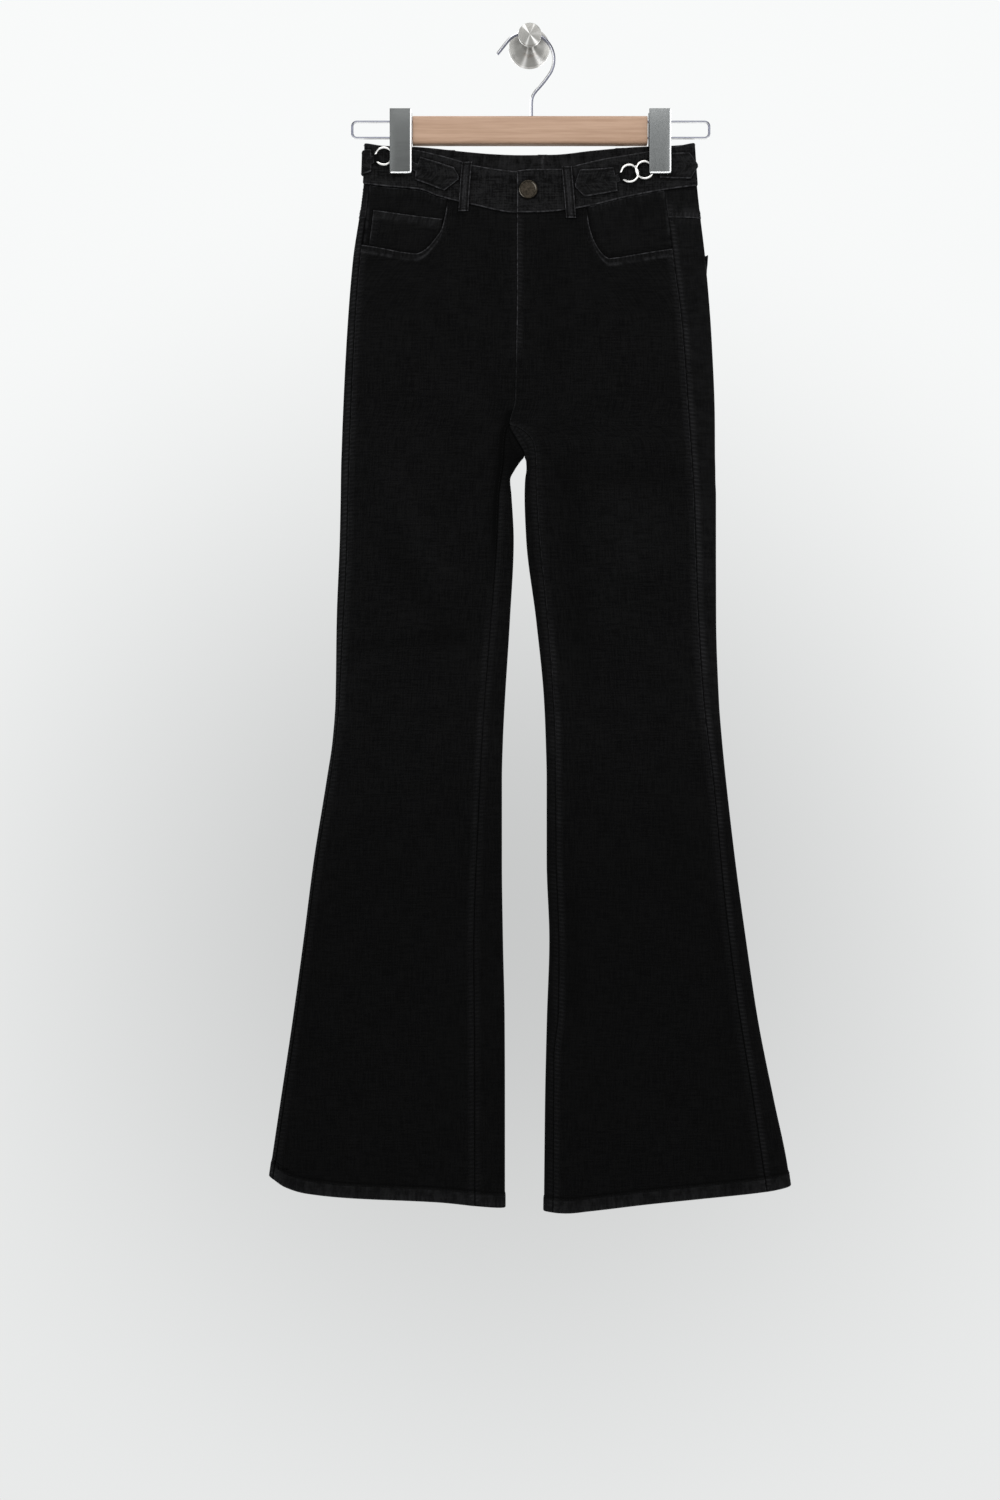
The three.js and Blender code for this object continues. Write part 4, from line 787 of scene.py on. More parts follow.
def makeFront(name):
    half, c, own = halves[name], frontCut, frontCut[name]
    share = np.unique(np.concatenate([stations(c["width"], c["columnStep"]), np.arange(*c["mouthColumns"])]))
    bottom = hemZ(frontX(half, share, form["hemMeanZ"]))
    z = rowsBetween(frontTopAt(half, share), bottom, panelLevels(c["rowStep"]))
    x = frontX(half, share[None], z)
    innerEdge, outerEdge = np.abs(x - frontX(half, 0.0, z)), np.abs(frontX(half, 1.0, z) - x)
    belowTop, fromHem = z[0][None] - z, z - z[-1:]
    isFly, isMouth = z > forkZ, share[None] > mouthStart
    hem = hemLift(z, z[-1])
    felled = c["felledRise"] * between(innerEdge, *c["felled"]) * (z < forkZ - 4)
    fly = own["flyRise"] * between(innerEdge, *c["fly"]) * isFly
    mouth = c["mouthRise"] * between(belowTop, *c["mouth"]) * isMouth
    flare = between(z, *c["flare"])
    flyEdge = mix(*own["flyEdge"], between(z, -350, -300))
    inseamEdge, inseamFlare = own["inseamEdge"]
    # Edges: the -1 under the waistband and the right fly's -0.5 paint shade; the positive values are light wear
    edge = byNearest((innerEdge, np.where(isFly, flyEdge, inseamEdge + inseamFlare * flare)),
                     (outerEdge, c["outseamEdge"]), (belowTop + 0.05, np.where(isMouth, 1.0, -1.0)),
                     (fromHem, c["hemEdge"]))
    flyPull = own["flyPull"] * between(z, -350, -320)
    innerPull = np.where(isFly, flyPull, own["legPull"] + flare)
    pull = byNearest((innerEdge, innerPull), (outerEdge, c["outseamPull"]),
                     (belowTop, c["mouthPull"] * isMouth), (fromHem, c["hemPull"]))
    row, wide = c["secondRow"]
    second = c["second"] * bell(belowTop - row, wide) * isMouth * ease((share[None] - mouthStart) / 0.03)
    # Painted shade under the waistband
    dark, start, end = c["underBandShade"]
    underBandShade = dark * between(belowTop, start, end) * ~isMouth
    wide, low, full, top = c["crotch"]
    crotchShade = own["crotchShade"] * bell(innerEdge, wide) * between(z, low, full) * (z < top)
    # Painted highlight along the leg's outer side, around knee height
    light, wide, middle, high = c["outside"]
    outside = light * bell(outerEdge, wide) * bell(z - middle, high)
    grid = {"half": half, "face": -1.0, "x": x, "z": z, "lift": hem + felled + fly + mouth,
            "thick": form["cloth"] + 2 * hem, "edge": edge, "pull": pull,
            "tone": second + underBandShade + crotchShade + outside + legTone(z)}
    piece = shell("front" + name.capitalize(), [grid], form["cloth"], denim, nodes=["front_" + name])
    declareCloth(piece, 0.26, 1.08, ["waistband" + name.capitalize()], 0.76)


for name in halves:
    makeFront(name)


# Backs: from the outseam round the side fold to the centre or the inner fold, and on to the inseam
backCut = {
    "step": 3.9, "felled": (9.6, 8.4), "felledRise": 0.45, "tongueTop": [-409.6, -409.9, -410.4, -411],
    "centreFrom": (-421, -391), "stripTop": -290.0, "stripTone": 0.045, "stripEnd": -1190,
    "edges": (-0.7, 0.6, -0.8, 0.8), "pulls": (1.9, 0.5, 0.4, 0.6),
    "under": {"right": -0.8, "left": 0}, "underShadeFrom": (-500, -440), "uvGap": 400,
}
nearFold = [0, 0.12, 0.35, 0.75, 1.4, 2.6, 4.4, 7, 10, 14, 20, 28]
stripShares = [0, 0.005, 0.015, 0.035, 0.07, 0.12, 0.2, 0.3, 0.42, 0.54, 0.66, 0.77, 0.86, 0.93, 0.975]
bothEnds = np.array([0, 0.006, 0.02, 0.045, 0.09, 0.16, 0.26, 0.38, 0.5, 0.62, 0.74, 0.84, 0.91, 0.955, 0.98,
                     0.994, 1])


def stationTable(*parts):
    # Each part runs from one anchor and offset to another: faces, weights of the anchors, offsets
    faces, weights, offsets = [], [], []
    for face, (a, fromA), (b, fromB), shares in parts:
        for t in shares:
            weight = np.zeros(3)
            weight[a] += 1 - t
            weight[b] += t
            faces.append(face)
            weights.append(weight)
            offsets.append(mix(fromA, fromB, t))
    return np.array(faces, float), np.array(weights), np.array(offsets)


def placeStations(table, half, anchors, z):
    faces, weights, offsets = table
    at = np.stack([anchor(z) for anchor in anchors], axis=-1)
    x = (at * weights).sum(-1) + half["side"] * offsets
    return np.broadcast_to(faces, x.shape), x


def foldOffsets(face, anchor, sign, steps):
    return [(face, (anchor, sign * step), (anchor, sign * step), [0]) for step in steps]


seamAnchor, outerAnchor, innerAnchor = 0, 1, 2
backTable = stationTable(
    (-1, (seamAnchor, 0), (outerAnchor, 0), stripShares),
    *foldOffsets(1, outerAnchor, -1, nearFold),
    (1, (outerAnchor, -nearFold[-1]), (innerAnchor, nearFold[-1]), np.linspace(0, 1, 40)[1:-1]),
    *foldOffsets(1, innerAnchor, 1, nearFold[::-1]),
)


def backAnchors(half):
    gap = half["side"] * form["seamGap"] / 2

    def seam(z):
        return half["outseam"](z) + gap

    def inner(z):
        return innerX(half, 1.0, z) + np.where(z > crotchZ, gap, 0)

    return [seam, half["outer"], inner]


yokeSeam = {"side": -189.5, "centre": -236.0, "reference": -200.0}


def yokeSeamAt(half):
    z = np.full(len(backTable[0]), yokeSeam["reference"])
    face, x = placeStations(backTable, half, backAnchors(half), z)
    outer, inner = half["outer"](z), innerX(half, 1.0, z)
    gone = np.where(face < 0, 0, np.abs(outer - x))
    return mix(yokeSeam["side"], yokeSeam["centre"], np.clip(gone / np.abs(outer - inner), 0, 1))


def backStrip(name, levels):
    # From the inner fold to the inseam, on the front
    half, c = halves[name], backCut
    gap = half["side"] * form["seamGap"] / 2

    def across(z, share):
        return mix(innerX(half, -1.0, z) + np.where(z > crotchZ, gap, 0), half["inseam"](z) - gap, share)

    hemHeights = np.full(len(bothEnds), form["hemMeanZ"])
    top = np.full(len(bothEnds), c["stripTop"])
    lower = rowsBetween(top, hemZ(across(hemHeights, bothEnds)), levels)
    tip = np.repeat(np.array(c["tongueTop"])[:, None], len(bothEnds), 1)
    z = np.concatenate([tip, lower[lower[:, 0] < forkZ - 1]])
    hem = hemLift(z, z[-1])
    # Painted shade on the right strip near the crotch, and along all of the strip's edges
    under = c["under"][name] * between(z, *c["underShadeFrom"])
    return {"half": half, "face": -1.0, "x": across(z, bothEnds[None]), "z": z, "lift": hem,
            "thick": form["cloth"] + 2 * hem, "u": c["uvGap"], "edge": -0.5, "pull": 0.8,
            "tone": legTone(z) + under}


def makeBack(name):
    half, c = halves[name], backCut
    anchors = backAnchors(half)
    _, hemX = placeStations(backTable, half, anchors, np.full(len(backTable[0]), form["hemMeanZ"]))
    levels = panelLevels(c["step"])
    z = rowsBetween(yokeSeamAt(half) - form["seamGap"] / 2, hemZ(hemX), levels)
    face, x = placeStations(backTable, half, anchors, z)
    hem = hemLift(z, z[-1])
    edges = (np.abs(x - anchors[0](z)), np.abs(x - anchors[2](z)), z[:1] - z, z - z[-1:])
    fromOutseam, fromCentre = edges[:2]
    rise = c["felledRise"] * between(fromOutseam, *c["felled"]) * (face < 0)
    if name == "left":
        centre = between(fromCentre, *c["felled"]) * between(z, *c["centreFrom"])
        rise = rise + c["felledRise"] * centre * (face > 0)
    onStrip = c["stripTone"] * (face < 0) * (z > c["stripEnd"])
    # Edges: the outseam and the top under the yoke get painted shade; the centre seam and the hem are rubbed
    # light
    main = {"half": half, "face": face, "x": x, "z": z, "lift": hem + rise, "thick": form["cloth"] + 2 * hem,
            "edge": byNearest(*zip(edges, c["edges"])), "pull": byNearest(*zip(edges, c["pulls"])),
            "tone": legTone(z) + onStrip}
    piece = shell("back" + name.capitalize(), [main, backStrip(name, levels)], form["cloth"], denim,
                  nodes=["back_" + name])
    declareCloth(piece, 0.33, 1.08, ["yoke" + name.capitalize()], 0.78)


yokeCut = {"high": 60, "step": 3.2, "hem": (10, 8.8), "rise": 0.45, "edges": (-1.0, 0.8, 0.25, 0.6),
           "pulls": (0.2, 1.2), "hemTone": (0.07, 11, 9.5), "underBandShade": (-0.9, 3.2, 0.8), "stripTone": 0.045}


def makeYoke(name):
    half, c = halves[name], yokeCut
    anchors = backAnchors(half)
    face = backTable[0]
    top = np.full(len(face), -160.0)
    for _ in range(6):
        top = waistSeamAt(face, placeStations(backTable, half, anchors, top)[1])
    gap = form["seamGap"] / 2
    z = mix(top[None] - gap, yokeSeamAt(half)[None] + gap, stations(c["high"], c["step"])[:, None])
    faces, x = placeStations(backTable, half, anchors, z)
    fromTop, fromSeam = z[:1] - z, z - z[-1:]
    edges = (fromTop, fromSeam, np.abs(x - anchors[0](z)), np.abs(x - anchors[2](z)))
    # Painted shade under the waistband and along the top edge; the seam's hem and the sides are rubbed light
    light, hemFrom, hemTo = c["hemTone"]
    dark, underShadeFrom, underTo = c["underBandShade"]
    tone = light * between(fromSeam, hemFrom, hemTo) + dark * between(fromTop, underShadeFrom, underTo)
    grid = {"half": half, "face": faces, "x": x, "z": z, "lift": c["rise"] * between(fromSeam, *c["hem"]),
            "edge": byNearest(*zip(edges, c["edges"])), "pull": byNearest(*zip(edges, c["pulls"])),
            "tone": tone + c["stripTone"] * (faces < 0)}
    piece = shell("yoke" + name.capitalize(), [grid], form["cloth"], denim, nodes=["yoke_" + name])
    declareCloth(piece, 0.22, 0.09, ["waistband" + name.capitalize()], 0.62)


def waistSeamAt(face, x):
    return np.where(face < 0, frontSeamZ(x), backSeamZ(x))


def waistTopAt(face, x):
    return np.where(face < 0, frontTopZ(x), backTopZ(x))


bandCut = {"lapEnd": 15.0, "lap": (-24.0, -16.0), "spans": 52, "fold": 20, "high": 40, "step": 2.6,
           "ripple": 0.16, "rippleStep": (0.37, 0.05), "rippleEdge": 6}
bandFold = [0.3, 0.7, 1.4, 2.6, 4.4, 7, 10, 14]


def bandTable():
    # Front from its end to the side fold, round the fold, and the back to the centre
    fold, inside = bandCut["fold"], np.linspace(0, 1, bandCut["spans"])[1:-1]
    return stationTable(
        *foldOffsets(-1, 0, 1, edgeSteps),
        (-1, (0, edgeSteps[-1]), (1, -fold), inside),
        *foldOffsets(-1, 1, -1, [fold, *bandFold[::-1]]),
        *foldOffsets(1, 1, -1, [0, *bandFold, fold]),
        (1, (1, -fold), (2, edgeSteps[-1]), inside),
        *foldOffsets(1, 2, 1, edgeSteps[::-1]),
    )


def makeBand(name):
    half, c, table = halves[name], bandCut, bandTable()

    def start(z):
        return centreFront(z) if name == "left" else np.full(np.shape(z), c["lapEnd"])

    def end(z):
        return centreBack(z) + half["side"] * form["seamGap"] / 2

    anchors = [start, half["outer"], end]
    face = table[0]
    seam, top = np.full(len(face), -160.0), np.full(len(face), -120.0)
    for _ in range(6):
        seam = waistSeamAt(face, placeStations(table, half, anchors, seam)[1])
        top = waistTopAt(face, placeStations(table, half, anchors, top)[1])
    z = mix(seam[None] + form["seamGap"] / 2, top[None], stations(c["high"], c["step"])[:, None])
    faces, x = placeStations(table, half, anchors, z)
    lapped = between(x, *c["lap"]) * (faces < 0) * (name == "right")
    fromTop, fromSeam = z[-1:] - z, z - z[:1]
    acrossStep, upStep = c["rippleStep"]
    inside = ease(fromTop / c["rippleEdge"]) * ease(fromSeam / c["rippleEdge"])
    ripple = c["ripple"] * np.sin(x * acrossStep + z * upStep) * inside
    fromEnd = np.abs(x - start(z)) + 100 * (faces > 0)
    grid = {"half": half, "face": faces, "x": x, "z": z, "pull": 0.5,
            "lift": form["bandProud"] - lapped * (form["band"] + form["layGap"]) + ripple,
            "edge": byNearest((fromTop, 1.3), (fromSeam, 1.25), (fromEnd, 1.5))}
    piece = shell("waistband" + name.capitalize(), [grid], form["band"], denimTrim,
                  nodes=["waistband_" + name], innerTone=0.18)


for name in halves:
    makeBack(name)
    makeYoke(name)
    makeBand(name)

print("panels, yokes and bands made")


# Pocket facings, coin pocket and fly pieces lie behind the fronts
coinCut = {"side": -180.5, "inner": -191.0, "bottom": -240.0, "from": 0.955, "to": 0.49, "thick": 0.9,
           "across": 82, "down": 54, "step": 3, "hem": (12.5, 11.3), "hemRise": 0.35, "hemTone": (0.1, 10, 8.5),
           "row": (0.22, 8.6, 1.0), "edges": (1.0, 0.7, -0.5, -0.5)}
facingCut = {"thick": 1.0, "shares": (0.425, 1.045), "mouthFrom": 0.535, "under": 14, "across": 92, "down": 60,
             "step": 3, "tone": 0.022, "wear": (0.75, 0.992, 0.006)}
facingLift = {"left": -form["cloth"] - form["innerGap"]}
facingLift["right"] = facingLift["left"] - coinCut["thick"] - form["layGap"]
stripCut = {
    "flyZip": {"x": (-19, 12), "z": (-188.5, -292), "lift": -1.65, "flat": (0.032, 0.106)},
    "flyShield": {"x": (-25, 18), "z": (-188.5, -302), "lift": -3.2, "flat": (0.044, 0.106)},
    "thick": 1.2, "down": (100, 4), "across": (31, 2.4),
}


def makeFacing(name):
    half, c = halves[name], facingCut
    share = mix(*c["shares"], stations(c["across"], c["step"]))
    top = frontSeamAt(half, share) - form["seamGap"]
    bottom = half["mouth"](np.maximum(share, c["mouthFrom"])) - c["under"]
    z = mix(top[None], bottom[None], stations(c["down"], c["step"])[:, None])
    wear, middle, wide = c["wear"]
    grid = {"half": half, "face": -1.0, "x": frontX(half, share[None], z), "z": z, "lift": facingLift[name],
            "tone": wear * bell(share[None] - middle, wide) + c["tone"] + 0 * z}
    node = "pocket_facing_" + name
    piece = shell("pocketFacing" + name.capitalize(), [grid], c["thick"], denim, nodes=[node])
    declareCloth(piece, 0.105, 0.075, ["front" + name.capitalize()], 0.8)


def makeCoinPocket():
    half, c = halves["right"], coinCut
    across = stations(c["across"], c["step"])
    share = mix(c["from"], c["to"], across)
    z = mix(mix(c["side"], c["inner"], across)[None], c["bottom"], stations(c["down"], c["step"])[:, None])
    x = frontX(half, share[None], z)
    fromTop = z[:1] - z
    fromSide, fromInner = [np.abs(frontX(half, end, z) - x) for end in (share[0], share[-1])]
    light, hemFrom, hemTo = c["hemTone"]
    row, down, wide = c["row"]
    # Edges: the inner side and bottom get painted shade; the top and the outer side are rubbed light
    grid = {"half": half, "face": -1.0, "x": x, "z": z,
            "lift": facingLift["left"] + c["hemRise"] * between(fromTop, *c["hem"]),
            "edge": byNearest(*zip((fromTop, fromSide, fromInner, z - z[-1:]), c["edges"])),
            "tone": light * between(fromTop, hemFrom, hemTo) + row * bell(fromTop - down, wide)}
    piece = shell("coinPocket", [grid], c["thick"], denim, nodes=["coin_pocket"])
    declareCloth(piece, 0.085, 0.056, ["pocketFacingRight"])


def makeStrip(name, node):
    c, own = stripCut, stripCut[name]
    z = mix(*own["z"], stations(*c["down"]))[:, None]
    x = mix(*own["x"], stations(*c["across"]))[None]
    grid = {"half": halves["left"], "face": -1.0, "x": x + z * 0, "z": z + x * 0, "lift": own["lift"]}
    piece = shell(name, [grid], c["thick"], denim, nodes=[node])
    declareCloth(piece, *own["flat"], ["frontLeft"])


for name in halves:
    makeFacing(name)
makeCoinPocket()
makeStrip("flyZip", "fly_zip")
makeStrip("flyShield", "fly_shield")

# Back patch pockets: places in from the side fold, then heights of the top edge
pocketCut = {
    "right": {"from": 28.0, "to": 162.0, "outerTop": -229.0, "innerTop": -243.0, "flare": 0.0},
    "left": {"from": 0.0, "to": 134.0, "outerTop": -227.5, "innerTop": -243.0, "flare": 1.8},
    "deep": 136.0, "point": 20.0, "slant": 12.0, "taper": 8.0, "thick": 1.2, "gap": 0.5, "hem": 14.0,
    "across": (134, 3.2), "down": (140, 3.4), "hemRise": 0.35, "hemTone": 0.1, "stitchLineShade": -0.4, "lineWide": 0.9,
}


def pocketPlace(name, across, down):
    c, p, half = pocketCut, pocketCut[name], halves[name]
    deep = c["deep"] + c["point"] * (1 - np.abs(2 * across - 1)) - c["slant"] * across
    z = mix(p["outerTop"], p["innerTop"], across) - deep * down
    inward = mix(p["from"], p["to"], across) + c["taper"] * down * (1 - 2 * across)
    return half["outer"](z) - half["side"] * inward, z


def pocketTone(across, down):
    # A little light on the hem's fold, and painted shade under the hem's lower stitching
    c = pocketCut
    fromHem = down * c["deep"] - c["hem"]
    return c["hemTone"] * ease(-fromHem / 1.5) + c["stitchLineShade"] * bell(fromHem - 0.5, c["lineWide"]) + 0 * across


def makeBackPocket(name):
    c, p = pocketCut, pocketCut[name]
    across = np.unique(np.append(stations(*c["across"]), 0.5))[None]
    down = stations(*c["down"])[:, None]
    x, z = pocketPlace(name, across, down)
    corner = p["flare"] * ease(1 - across * 6) * ease(1 - down * 4)
    hem = c["hemRise"] * ease((c["hem"] / c["down"][0] - down) / 0.008)
    grid = {"half": halves[name], "face": 1.0, "x": x, "z": z, "lift": c["gap"] + c["thick"] + corner + hem,
            "edge": 1.0, "pull": 1.2, "tone": pocketTone(across, down)}
    piece = shell("backPocket" + name.capitalize(), [grid], c["thick"], denim, nodes=["back_pocket_" + name])
    declareCloth(piece, 0.137, 0.158, ["back" + name.capitalize()], 0.88)


for name in halves:
    makeBackPocket(name)

# Belt loops: half, face, x at the band's top, x at its seam
loopCut = {"width": 10.4, "thick": 1.7, "below": 9.5, "above": 0.9, "step": 1.1, "down": (48, 1.6),
           "near": (0, 0.12, 0.35, 0.8, 1.5), "groove": 3.4, "grooveDeep": 0.45, "grooveWide": 0.8,
           "middle": 2.4, "middleTone": 0.3, "grooveShade": -0.9}
loops = {
    "FrontRight": ("right", -1.0, -65.9, -69.9), "FrontLeft": ("left", -1.0, 38.8, 43.4),
    "BackRight": ("right", 1.0, -84, -86), "BackLeft": ("left", 1.0, 96, 98),
    "BackMiddle": ("left", 1.0, 14, 14),
}


def loopEnds(face, topX, bottomX):
    return waistTopAt(face, topX), waistSeamAt(face, bottomX)


def makeLoop(name, half, face, topX, bottomX):
    c = loopCut
    top, seam = loopEnds(face, topX, bottomX)
    lowest = seam - c["below"]
    # How far it stands off the cloth, down its length
    profile = column([(top + c["above"], 1.25), (top - 4, 2.1), (top - 18, 2.9), (seam + 5, 2.3),
                      (seam - 2, 1.3), (lowest, 0.7)], 0, 1)
    z = mix(top + c["above"], lowest, stations(*c["down"]))[:, None]
    across = (stations(c["width"], c["step"], c["near"]) - 0.5)[None] * c["width"]
    x = mix(bottomX, topX, (z - lowest) / (top - lowest)) + across
    # Painted shade in the grooves of the two stitched rows
    groove = bell(np.abs(across) - c["groove"], c["grooveWide"])
    grid = {"half": halves[half], "face": face, "x": x, "z": z + x * 0, "edge": 1.1, "pull": 0.8,
            "lift": profile(z) + c["thick"] - c["grooveDeep"] * groove,
            "tone": c["middleTone"] * (np.abs(across) < c["middle"]) + c["grooveShade"] * groove + 0 * z}
    node = "belt_loop_" + ("front_" if face < 0 else "back_") + name[5 if face < 0 else 4:].lower()
    piece = shell("beltLoop" + name, [grid], c["thick"], denimTrim, nodes=[node])
    declareCloth(piece, 0.0106, 0.052, ["waistband" + half.capitalize()], 0.99)


for name, (half, face, topX, bottomX) in loops.items():
    makeLoop(name, half, face, topX, bottomX)
print("pockets and loops made")


def surfaceOf(piece):
    vertices = [v.co / millimetre for v in piece.data.vertices]
    return BVHTree.FromPolygons(vertices, [tuple(p.vertices) for p in piece.data.polygons])


def contactShade(piece, others, reach, strength):
    # Painted shade: darkens the cloth where other pieces lie on it or over it
    near = np.zeros(len(piece.data.vertices))
    for other in others:
        surface = surfaceOf(other)
        low = np.min([v.co for v in other.data.vertices], axis=0) / millimetre - reach
        high = np.max([v.co for v in other.data.vertices], axis=0) / millimetre + reach
        for i, vertex in enumerate(piece.data.vertices):
            place = vertex.co / millimetre
            if all(a <= p <= b for a, p, b in zip(low, place, high)):
                found = surface.find_nearest(place, reach)
                if found[3] is not None:
                    near[i] = max(near[i], 1 - found[3] / reach)
    tone = piece.data.attributes["tone"].data
    for i in near.nonzero()[0]:
        tone[i].value -= strength * near[i]


# Round metal and wood
def loft(rings, capped=True, closed=False):
    rings = np.asarray(rings, float)
    count, around = rings.shape[:2]
    index = np.arange(count * around).reshape(count, around)
    if closed:
        index = np.concatenate([index, index[:1]])
    nextOne = np.roll(index, -1, axis=1)
    faces = np.stack([index[:-1], nextOne[:-1], nextOne[1:], index[1:]], -1).reshape(-1, 4).tolist()
    if capped:
        faces += [index[0][::-1].tolist(), index[-1].tolist()]
    return rings.reshape(-1, 3), faces


def together(*parts):
    points, faces, start = [], [], 0
    for partPoints, partFaces in parts:
        points.append(np.asarray(partPoints))
        faces += [[i + start for i in face] for face in partFaces]
        start += len(partPoints)
    return np.concatenate(points), faces


def outward(points, faces):
    # Turns a closed mesh's faces outwards
    volume = sum(float(np.dot(points[f[0]], np.cross(points[f[i]], points[f[i + 1]])))
                 for f in faces for i in range(1, len(f) - 1))
    return (points, faces) if volume > 0 else (points, [f[::-1] for f in faces])


def hardware(name, parts, material, nodes, sharp=40):
    points, faces = together(*[outward(np.asarray(p), f) for p, f in parts])
    made = meshOf(name, points, faces, material)
    made.data.set_sharp_from_angle(angle=math.radians(sharp))
    print(name, len(faces), "faces")
    return finishPiece(made, nodes)


def paintedHighlightSide(piece, toward):
    # How far each point of a wire or the button faces one way, which places a painted highlight
    values = piece.data.attributes.new("facing", "FLOAT", "POINT").data
    for value, normal in zip(values, piece.data.vertex_normals):
        value.value = normal.vector.dot(toward)


def tube(points, radius, sides=20, rounded=0.6):
    # A round wire along points, its ends rounded off
    points = np.asarray(points, float)
    along = np.gradient(points, axis=0)
    along /= np.linalg.norm(along, axis=1, keepdims=True)
    side = np.cross(along[0], (0, 1, 0) if abs(along[0][1]) < 0.9 else (1, 0, 0))
    rings = []
    angles = np.linspace(0, 2 * math.pi, sides, endpoint=False)[:, None]
    for i, point in enumerate(points):
        side = side - along[i] * np.dot(side, along[i])
        side /= np.linalg.norm(side)
        other = np.cross(along[i], side)
        rings.append((point, along[i], np.cos(angles) * side + np.sin(angles) * other))
    turns = np.linspace(0, math.pi / 2, 4)

    def endRing(ring, t, sign):
        place, forward, around = ring
        inward = sign * forward * rounded * (1 - math.sin(t))
        return place + inward + around * (radius - rounded * (1 - math.cos(t)))

    made = [endRing(rings[0], t, 1) for t in turns[:0:-1]]
    made += [p + d * radius for p, _, d in rings[1:-1]]
    made += [endRing(rings[-1], t, -1) for t in turns[1:]]
    return loft(made)


def revolve(profile, origin, x, y, z, segments=64):
    # Turned about y from (radius, height) pairs
    angles = np.linspace(0, 2 * math.pi, segments, endpoint=False)[:, None]
    rings = [np.asarray(origin) + np.cos(angles) * r * np.asarray(x) + np.sin(angles) * r * np.asarray(z)
             + h * np.asarray(y) for r, h in profile]
    return loft(rings)


def smoothLine(points, count):
    points = np.asarray(points, float)
    for _ in range(3):
        cut = np.empty((2 * len(points) - 2, points.shape[1]))
        cut[0::2] = mix(points[:-1], points[1:], 0.25)
        cut[1::2] = mix(points[:-1], points[1:], 0.75)
        points = np.concatenate([points[:1], cut, points[-1:]])
    far = np.concatenate([[0], np.cumsum(np.linalg.norm(np.diff(points, axis=0), axis=1))])
    at = np.linspace(0, far[-1], count)
    return np.stack([np.interp(at, far, points[:, k]) for k in range(points.shape[1])], -1)


def arc(x, z, radius, start, end, count):
    a = np.radians(np.linspace(start, end, count))
    return np.stack([x + radius * np.cos(a), z + radius * np.sin(a)], -1)


def hung(flat):
    flat = np.asarray(flat)
    return np.stack([flat[:, 0], np.full(len(flat), hangY), flat[:, 1]], -1)


bar = {"x0": -124.1, "x1": 124.7, "top": -81.4, "bottom": -110.7, "depth": 16, "round": 3.5, "endRound": 0.8}
# In hook and endWire, bright is the way that the wire's painted highlight faces
hook = {"wire": 1.75, "centre": (-2.8, -20.2), "radius": 28.6, "from": -32, "to": 112,
        "foot": [(1.9, -81.1), (1.9, -66), (2.6, -60.2), (5.4, -55), (10.2, -49.8), (15.4, -43.8)],
        "tip": [(-18.6, 4.2), (-24.2, -1.6), (-34.2, -14.6)], "bright": (-0.66, -0.6, 0.45)}
endWire = {"radius": 1.35, "top": -86.2, "bottom": -103.4, "bend": 5, "reach": (-188, 190.3),
           "bright": (0, -0.5, -0.87)}


def roundedBox(lo, hi, radius, endRadius, steps=5, spans=12):
    # Long edges run along x; both radii in millimetres
    turns = np.linspace(0, math.pi / 2, steps)
    ends = [(lo[0] + endRadius * (1 - math.cos(t)), endRadius * (1 - math.sin(t))) for t in turns]
    middle = [(x, 0) for x in np.linspace(lo[0] + endRadius, hi[0] - endRadius, spans)[1:-1]]
    far = [(hi[0] - (x - lo[0]), inset) for x, inset in ends[::-1]]
    halfSize = (np.array(hi[1:]) - np.array(lo[1:])) / 2
    centre = (np.array(hi[1:]) + np.array(lo[1:])) / 2
    rings = []
    for x, inset in ends + middle + far:
        ring = []
        for cy, cz, start in ((1, -1, -90), (1, 1, 0), (-1, 1, 90), (-1, -1, 180)):
            for turn in np.radians(np.linspace(start, start + 90, steps)):
                r = radius - inset
                ring.append((x, centre[0] + cy * (halfSize[0] - radius) + r * math.cos(turn),
                             centre[1] + cz * (halfSize[1] - radius) + r * math.sin(turn)))
        rings.append(ring)
    return loft(rings)


def makeBar():
    b = bar
    front, back = hangY - b["depth"] / 2, hangY + b["depth"] / 2
    low, high = (b["x0"], front, b["bottom"]), (b["x1"], back, b["top"])
    box = roundedBox(low, high, b["round"], b["endRound"], 8, 26)
    hardware("hangerBar", [box], beech, ["hanger_bar"])


def levelLine(xs, z):
    return np.stack([xs, np.full(len(xs), z)], -1)


def makeHook():
    h = hook
    bow = arc(*h["centre"], h["radius"], h["from"], h["to"], 24)
    wire = tube(hung(smoothLine(np.concatenate([h["foot"], bow, h["tip"]]), 130)), h["wire"], 24)
    paintedHighlightSide(hardware("hangerHook", [wire], chrome, ["hanger_hook"]), h["bright"])


def makeEndWire(name, side, barEnd, reach):
    w = endWire
    turn = abs(reach) - w["bend"]
    xs = np.linspace((barEnd + side * form["seamGap"]) * side, turn, 12)[:-1]
    upper = arc(turn, w["top"] - w["bend"], w["bend"], 90, 0, 10)
    lower = arc(turn, w["bottom"] + w["bend"], w["bend"], 0, -90, 10)
    line = np.concatenate([levelLine(xs, w["top"]), upper, lower, levelLine(xs[::-1], w["bottom"])])
    line[:, 0] *= side
    wire = tube(hung(line), w["radius"], 18, 0.4)
    piece = hardware("hangerWire" + name, [wire], chrome, ["hanger_wire_" + name.lower()])
    paintedHighlightSide(piece, w["bright"])


clipCut = {"x": {"Right": -136.3, "Left": 137.6}, "width": 23.0, "top": -75.0, "bottom": -143.5, "plate": 1.6,
           "front": -10.8, "back": 5.3, "round": 0.7, "inset": 1.5, "lap": 0.3, "edge": 1.05, "rollOut": 0.25}


